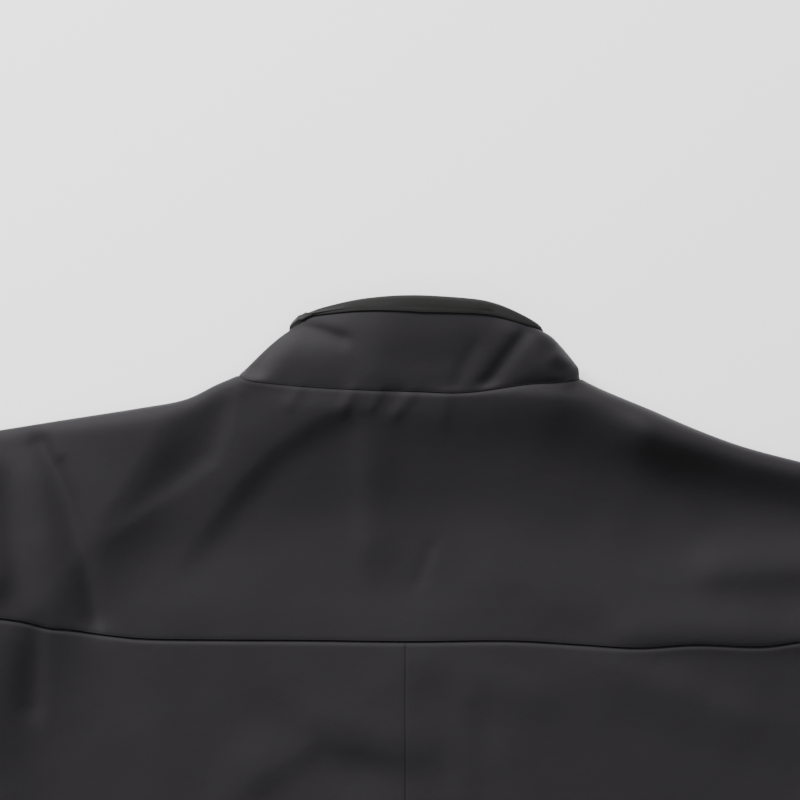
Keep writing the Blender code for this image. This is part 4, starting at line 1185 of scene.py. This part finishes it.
yoke_ends = np.array([YOKE_SEAM[0][0], YOKE_SEAM[-1][0]]) * MM
yoke_line = seam_line(np.linspace(yoke_ends[0] + SEAM_TRIM, yoke_ends[1] - SEAM_TRIM, YOKE_STRIP_POINTS))
seam_middle = dict(YOKE_SEAM)[0] * MM
centre_y = np.linspace(-BACK_LENGTH + SEAM_TRIM, seam_middle - SEAM_TRIM, CENTRE_STRIP_POINTS)
centre_line = np.stack([0 * centre_y, centre_y], axis=1)
neck_shown = np.linspace(NECK_TRIM, 1 - NECK_TRIM, NECK_STRIP_POINTS)
neck_line = smooth_line(np.array(NECK_SEAM) * MM, at=neck_shown)
allowances = {"yoke_seam_allowance": (yoke_line, 0), "centre_seam_allowance": (centre_line, 0),
              "neck_seam_allowance": (neck_line, NECK_INWARDS)}
for name, (line, inwards) in allowances.items():
    points, ways = allowance(line, inwards)
    cloth(name, points, ways, SHELL, thickness=ALLOWANCE_WALL, flip=True)
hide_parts("back_yoke")

# %% [markdown]
# ## The zip
# A full-length zip joins the fronts on the underside. Nothing of it shows in the photograph, but
# the jacket couldn't be worn without one. The tapes are flat strips, and the chain is two rows of
# small moulded teeth that lock side by side.

# %% Zip tapes
TAPE_HALF_THICK = 0.5 * MM
TAPE_STEP = 6.0 * MM
TAPE_COLUMNS = 9
TAPE_BEYOND_SLIDER = 4 * MM
tape_top = SLIDER_AT + TAPE_BEYOND_SLIDER
tape_rows = np.linspace(-BACK_LENGTH, tape_top, int((tape_top + BACK_LENGTH) / TAPE_STEP))
tape_half = ZIP_HALF - SEAM
tape_columns = np.linspace(-tape_half, tape_half, TAPE_COLUMNS)
tape_x, tape_y = np.meshgrid(tape_columns, tape_rows)
tape_z = ZIP_HEIGHT + slider_lift(0 * tape_x, tape_y) - TAPE_HALF_THICK
tape_points = np.stack([tape_x, tape_y, tape_z], axis=-1)
tape_normals = np.zeros_like(tape_points)
tape_normals[..., 2] = -1
tape = cloth("zip_tape_cloth", tape_points, tape_normals, TAPE,
             thickness=2 * TAPE_HALF_THICK, flip=True)
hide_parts("front_zip")

# %% [markdown]
# Each tooth is a small block with cut corners. Every second one comes from the other side, so their
# near ends lie between each other along the middle.

# %% Zip teeth
TOOTH_PITCH = 1.45 * MM
TOOTH_HALF_LENGTH = 0.55 * MM
TOOTH_NEAR = 0.9 * MM
TOOTH_FAR = 2.7 * MM
TOOTH_HALF_THICK = 1.05 * MM
TOOTH_OUTLINE = [(-1.0, -0.55), (-0.55, -1.0), (0.55, -1.0), (1.0, -0.55),
                 (1.0, 0.55), (0.55, 1.0), (-0.55, 1.0), (-1.0, 0.55)]
FIRST_TOOTH = 1 * MM
BARE_TOP = 6 * MM
TOOTH_CORNER = math.radians(30)


def teeth():
    """Both rows of teeth as one mesh, alternate teeth reaching past the middle from either side."""
    verts, faces = [], []
    count = int((tape_top - BARE_TOP + BACK_LENGTH) / TOOTH_PITCH)
    for i in range(count):
        y = -BACK_LENGTH + FIRST_TOOTH + i * TOOTH_PITCH
        side = 1 if i % 2 else -1
        z = ZIP_HEIGHT + float(slider_lift(np.array(0.0), np.array(y)))
        first_vert = len(verts)
        for x in (-side * TOOTH_NEAR, side * TOOTH_FAR):
            verts += [(x, y + u * TOOTH_HALF_LENGTH, z + v * TOOTH_HALF_THICK) for u, v in TOOTH_OUTLINE]
        faces += bar_faces(first_vert, len(TOOTH_OUTLINE), 2)
    return verts, faces


tooth_verts, tooth_faces = teeth()
chain = add_mesh("zip_teeth", tooth_verts, tooth_faces, TAPE)
chain.data.set_sharp_from_angle(angle=TOOTH_CORNER)
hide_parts("front_zip")
print("zip teeth:", len(tooth_verts) // (2 * len(TOOTH_OUTLINE)))

# %% [markdown]
# ## Sewing
# The hem and the cuffs are turned up and held by one row of stitches. Each stitch is a short, round,
# slightly sunken thread. They are set along lines worked out on the same surface as the cloth.

# %% Stitches
STITCH_LENGTH = 2.6 * MM
STITCH_PITCH = 3.4 * MM
STITCH_HALF = 0.28 * MM
HEM_DEPTH = 20.0 * MM
CUFF_DEPTH = 18.0 * MM
STITCH_START = 0.1
STITCH_PROUD = 0.3
HEM_TRIM = 6 * MM
CUFF_TRIM = 0.06
HEM_POINTS = 60
CUFF_POINTS = 30
BACK_START = 3 * MM
FRONT_START = ZIP_HALF + 2 * MM
STITCH_RING = [(math.cos(turn), math.sin(turn)) for turn in np.linspace(0, 2 * math.pi, 6, endpoint=False)]
STITCH_SECTIONS = [(-1.0, 0.35), (-0.7, 1.0), (0.7, 1.0), (1.0, 0.35)]


def stitches_along(line, upper, verts, faces):
    """Add short threads along a line in plan, on the outer face of a layer."""
    length = float(np.sum(np.linalg.norm(np.diff(line, axis=0), axis=1)))
    count = int(length / STITCH_PITCH)
    along = shares_along(line)
    for k in range(count):
        ends = (np.array([k, k + STITCH_LENGTH / STITCH_PITCH]) + STITCH_START) / count
        points, ways = on_layer(read_off(line, along, ends), upper)
        middle = points.mean(axis=0)
        run = (points[1] - points[0]) / 2
        out = ways[0]
        sideways = np.cross(unit(run), out)
        start = len(verts)
        for share, size in STITCH_SECTIONS:
            centre = middle + share * run + out * STITCH_HALF * STITCH_PROUD
            verts += [centre + STITCH_HALF * size * (a * sideways + b * out) for a, b in STITCH_RING]
        faces += bar_faces(start, len(STITCH_RING), len(STITCH_SECTIONS))


stitch_verts, stitch_faces = [], []
for side in (-1, 1):
    hem_end = side * (SIDE_SEAM[-1][0] * MM - HEM_TRIM)
    for upper, start in ((True, BACK_START), (False, FRONT_START)):
        hem_x = np.linspace(side * start, hem_end, HEM_POINTS)
        hem_line = np.stack([hem_x, 0 * hem_x + HEM_DEPTH - BACK_LENGTH], axis=1)
        stitches_along(hem_line, upper, stitch_verts, stitch_faces)
        outer, inner = sleeve_corners(side)
        up_sleeve = np.array([-side * math.cos(SLEEVE_ANGLE), math.sin(SLEEVE_ANGLE)]) * CUFF_DEPTH
        trim = CUFF_TRIM * (inner - outer)
        cuff_line = np.linspace(outer + trim, inner - trim, CUFF_POINTS) + up_sleeve
        stitches_along(cuff_line, upper, stitch_verts, stitch_faces)
add_mesh("hem_and_cuff_stitches", stitch_verts, stitch_faces, THREAD)
print("stitches:", len(stitch_verts) // (len(STITCH_RING) * len(STITCH_SECTIONS)))

# %% [markdown]
# ## Cut sizes
# Each piece of cloth prints its number of faces and the area of its outer face as it is made.

# %% [markdown]
# ## Floor, camera and light
# The photograph is a cut-out on white. Here the jacket lies on a pale, matte floor, a little below
# the lowest cloth, so that the two never share a plane.

# %% Floor
FLOOR_HALF = 4.0
FLOOR_AT = -0.4 * MM
floor_finish, floor_tree, floor_shader = new_finish("pale floor")
feed(floor_tree, floor_shader, {"Base Color": (0.86, 0.86, 0.86, 1.0), "Roughness": 0.9})
floor_mesh = bpy.data.meshes.new("floor")
floor_mesh.from_pydata([(-FLOOR_HALF, -FLOOR_HALF, 0), (FLOOR_HALF, -FLOOR_HALF, 0),
                        (FLOOR_HALF, FLOOR_HALF, 0), (-FLOOR_HALF, FLOOR_HALF, 0)], [], [(0, 1, 2, 3)])
floor_mesh.materials.append(floor_finish)
floor = put_in_scene("floor", floor_mesh, (0.0, 0.0, FLOOR_AT))
print("floor at z, m:", FLOOR_AT)

# %% [markdown]
# The photograph is a straight view down, so the camera hangs over the yoke with a long lens, as a
# catalogue photographer's would.

# %% Camera
VIEW_MIDDLE = (-2.9 * MM, -5.2 * MM + Y_SHIFT)
VIEW_WIDTH = 0.464
VIEW_DISTANCE = 2.4
CLOTH_AT = 0.015
SENSOR = 36.0
camera_data = bpy.data.cameras.new("camera")
camera_data.sensor_width = SENSOR
camera_data.lens = SENSOR * VIEW_DISTANCE / VIEW_WIDTH
camera_data.clip_end = 50.0
camera = put_in_scene("camera", camera_data, (*VIEW_MIDDLE, VIEW_DISTANCE + CLOTH_AT))
bpy.context.scene.camera = camera
print("camera over", VIEW_MIDDLE, "lens mm:", round(camera_data.lens, 1))

# %% [markdown]
# The folds are lit from the upper left at a low angle, with soft light from above and a weak even
# light from all round to fill the shadows.

# %% Lights
WORLD_STRENGTH = 0.17


def add_light(name, place, aim, size, power):
    """A square area light at a place, turned towards a point."""
    data = bpy.data.lights.new(name, "AREA")
    data.shape = "SQUARE"
    data.size = size
    data.energy = power
    light = put_in_scene(name, data, place)
    away = np.array(place) - np.array(aim)
    light.rotation_euler = (math.atan2(math.hypot(away[0], away[1]), away[2]), 0,
                            math.atan2(away[1], away[0]) + math.pi / 2)


COLLAR_AIM = (0.0, 0.30, 0.02)
add_light("window light", (-1.35, 2.35, 1.5), COLLAR_AIM, 1.2, 330.0)
add_light("overhead fill", (0.3, 0.2, 2.6), COLLAR_AIM, 2.2, 34.0)
world = bpy.data.worlds.new("studio")
bpy.context.scene.world = world
world.use_nodes = True
feed(world.node_tree, world.node_tree.nodes["Background"],
     {"Color": (1.0, 1.0, 1.0, 1.0), "Strength": WORLD_STRENGTH})
print("lights:", len(bpy.data.lights))
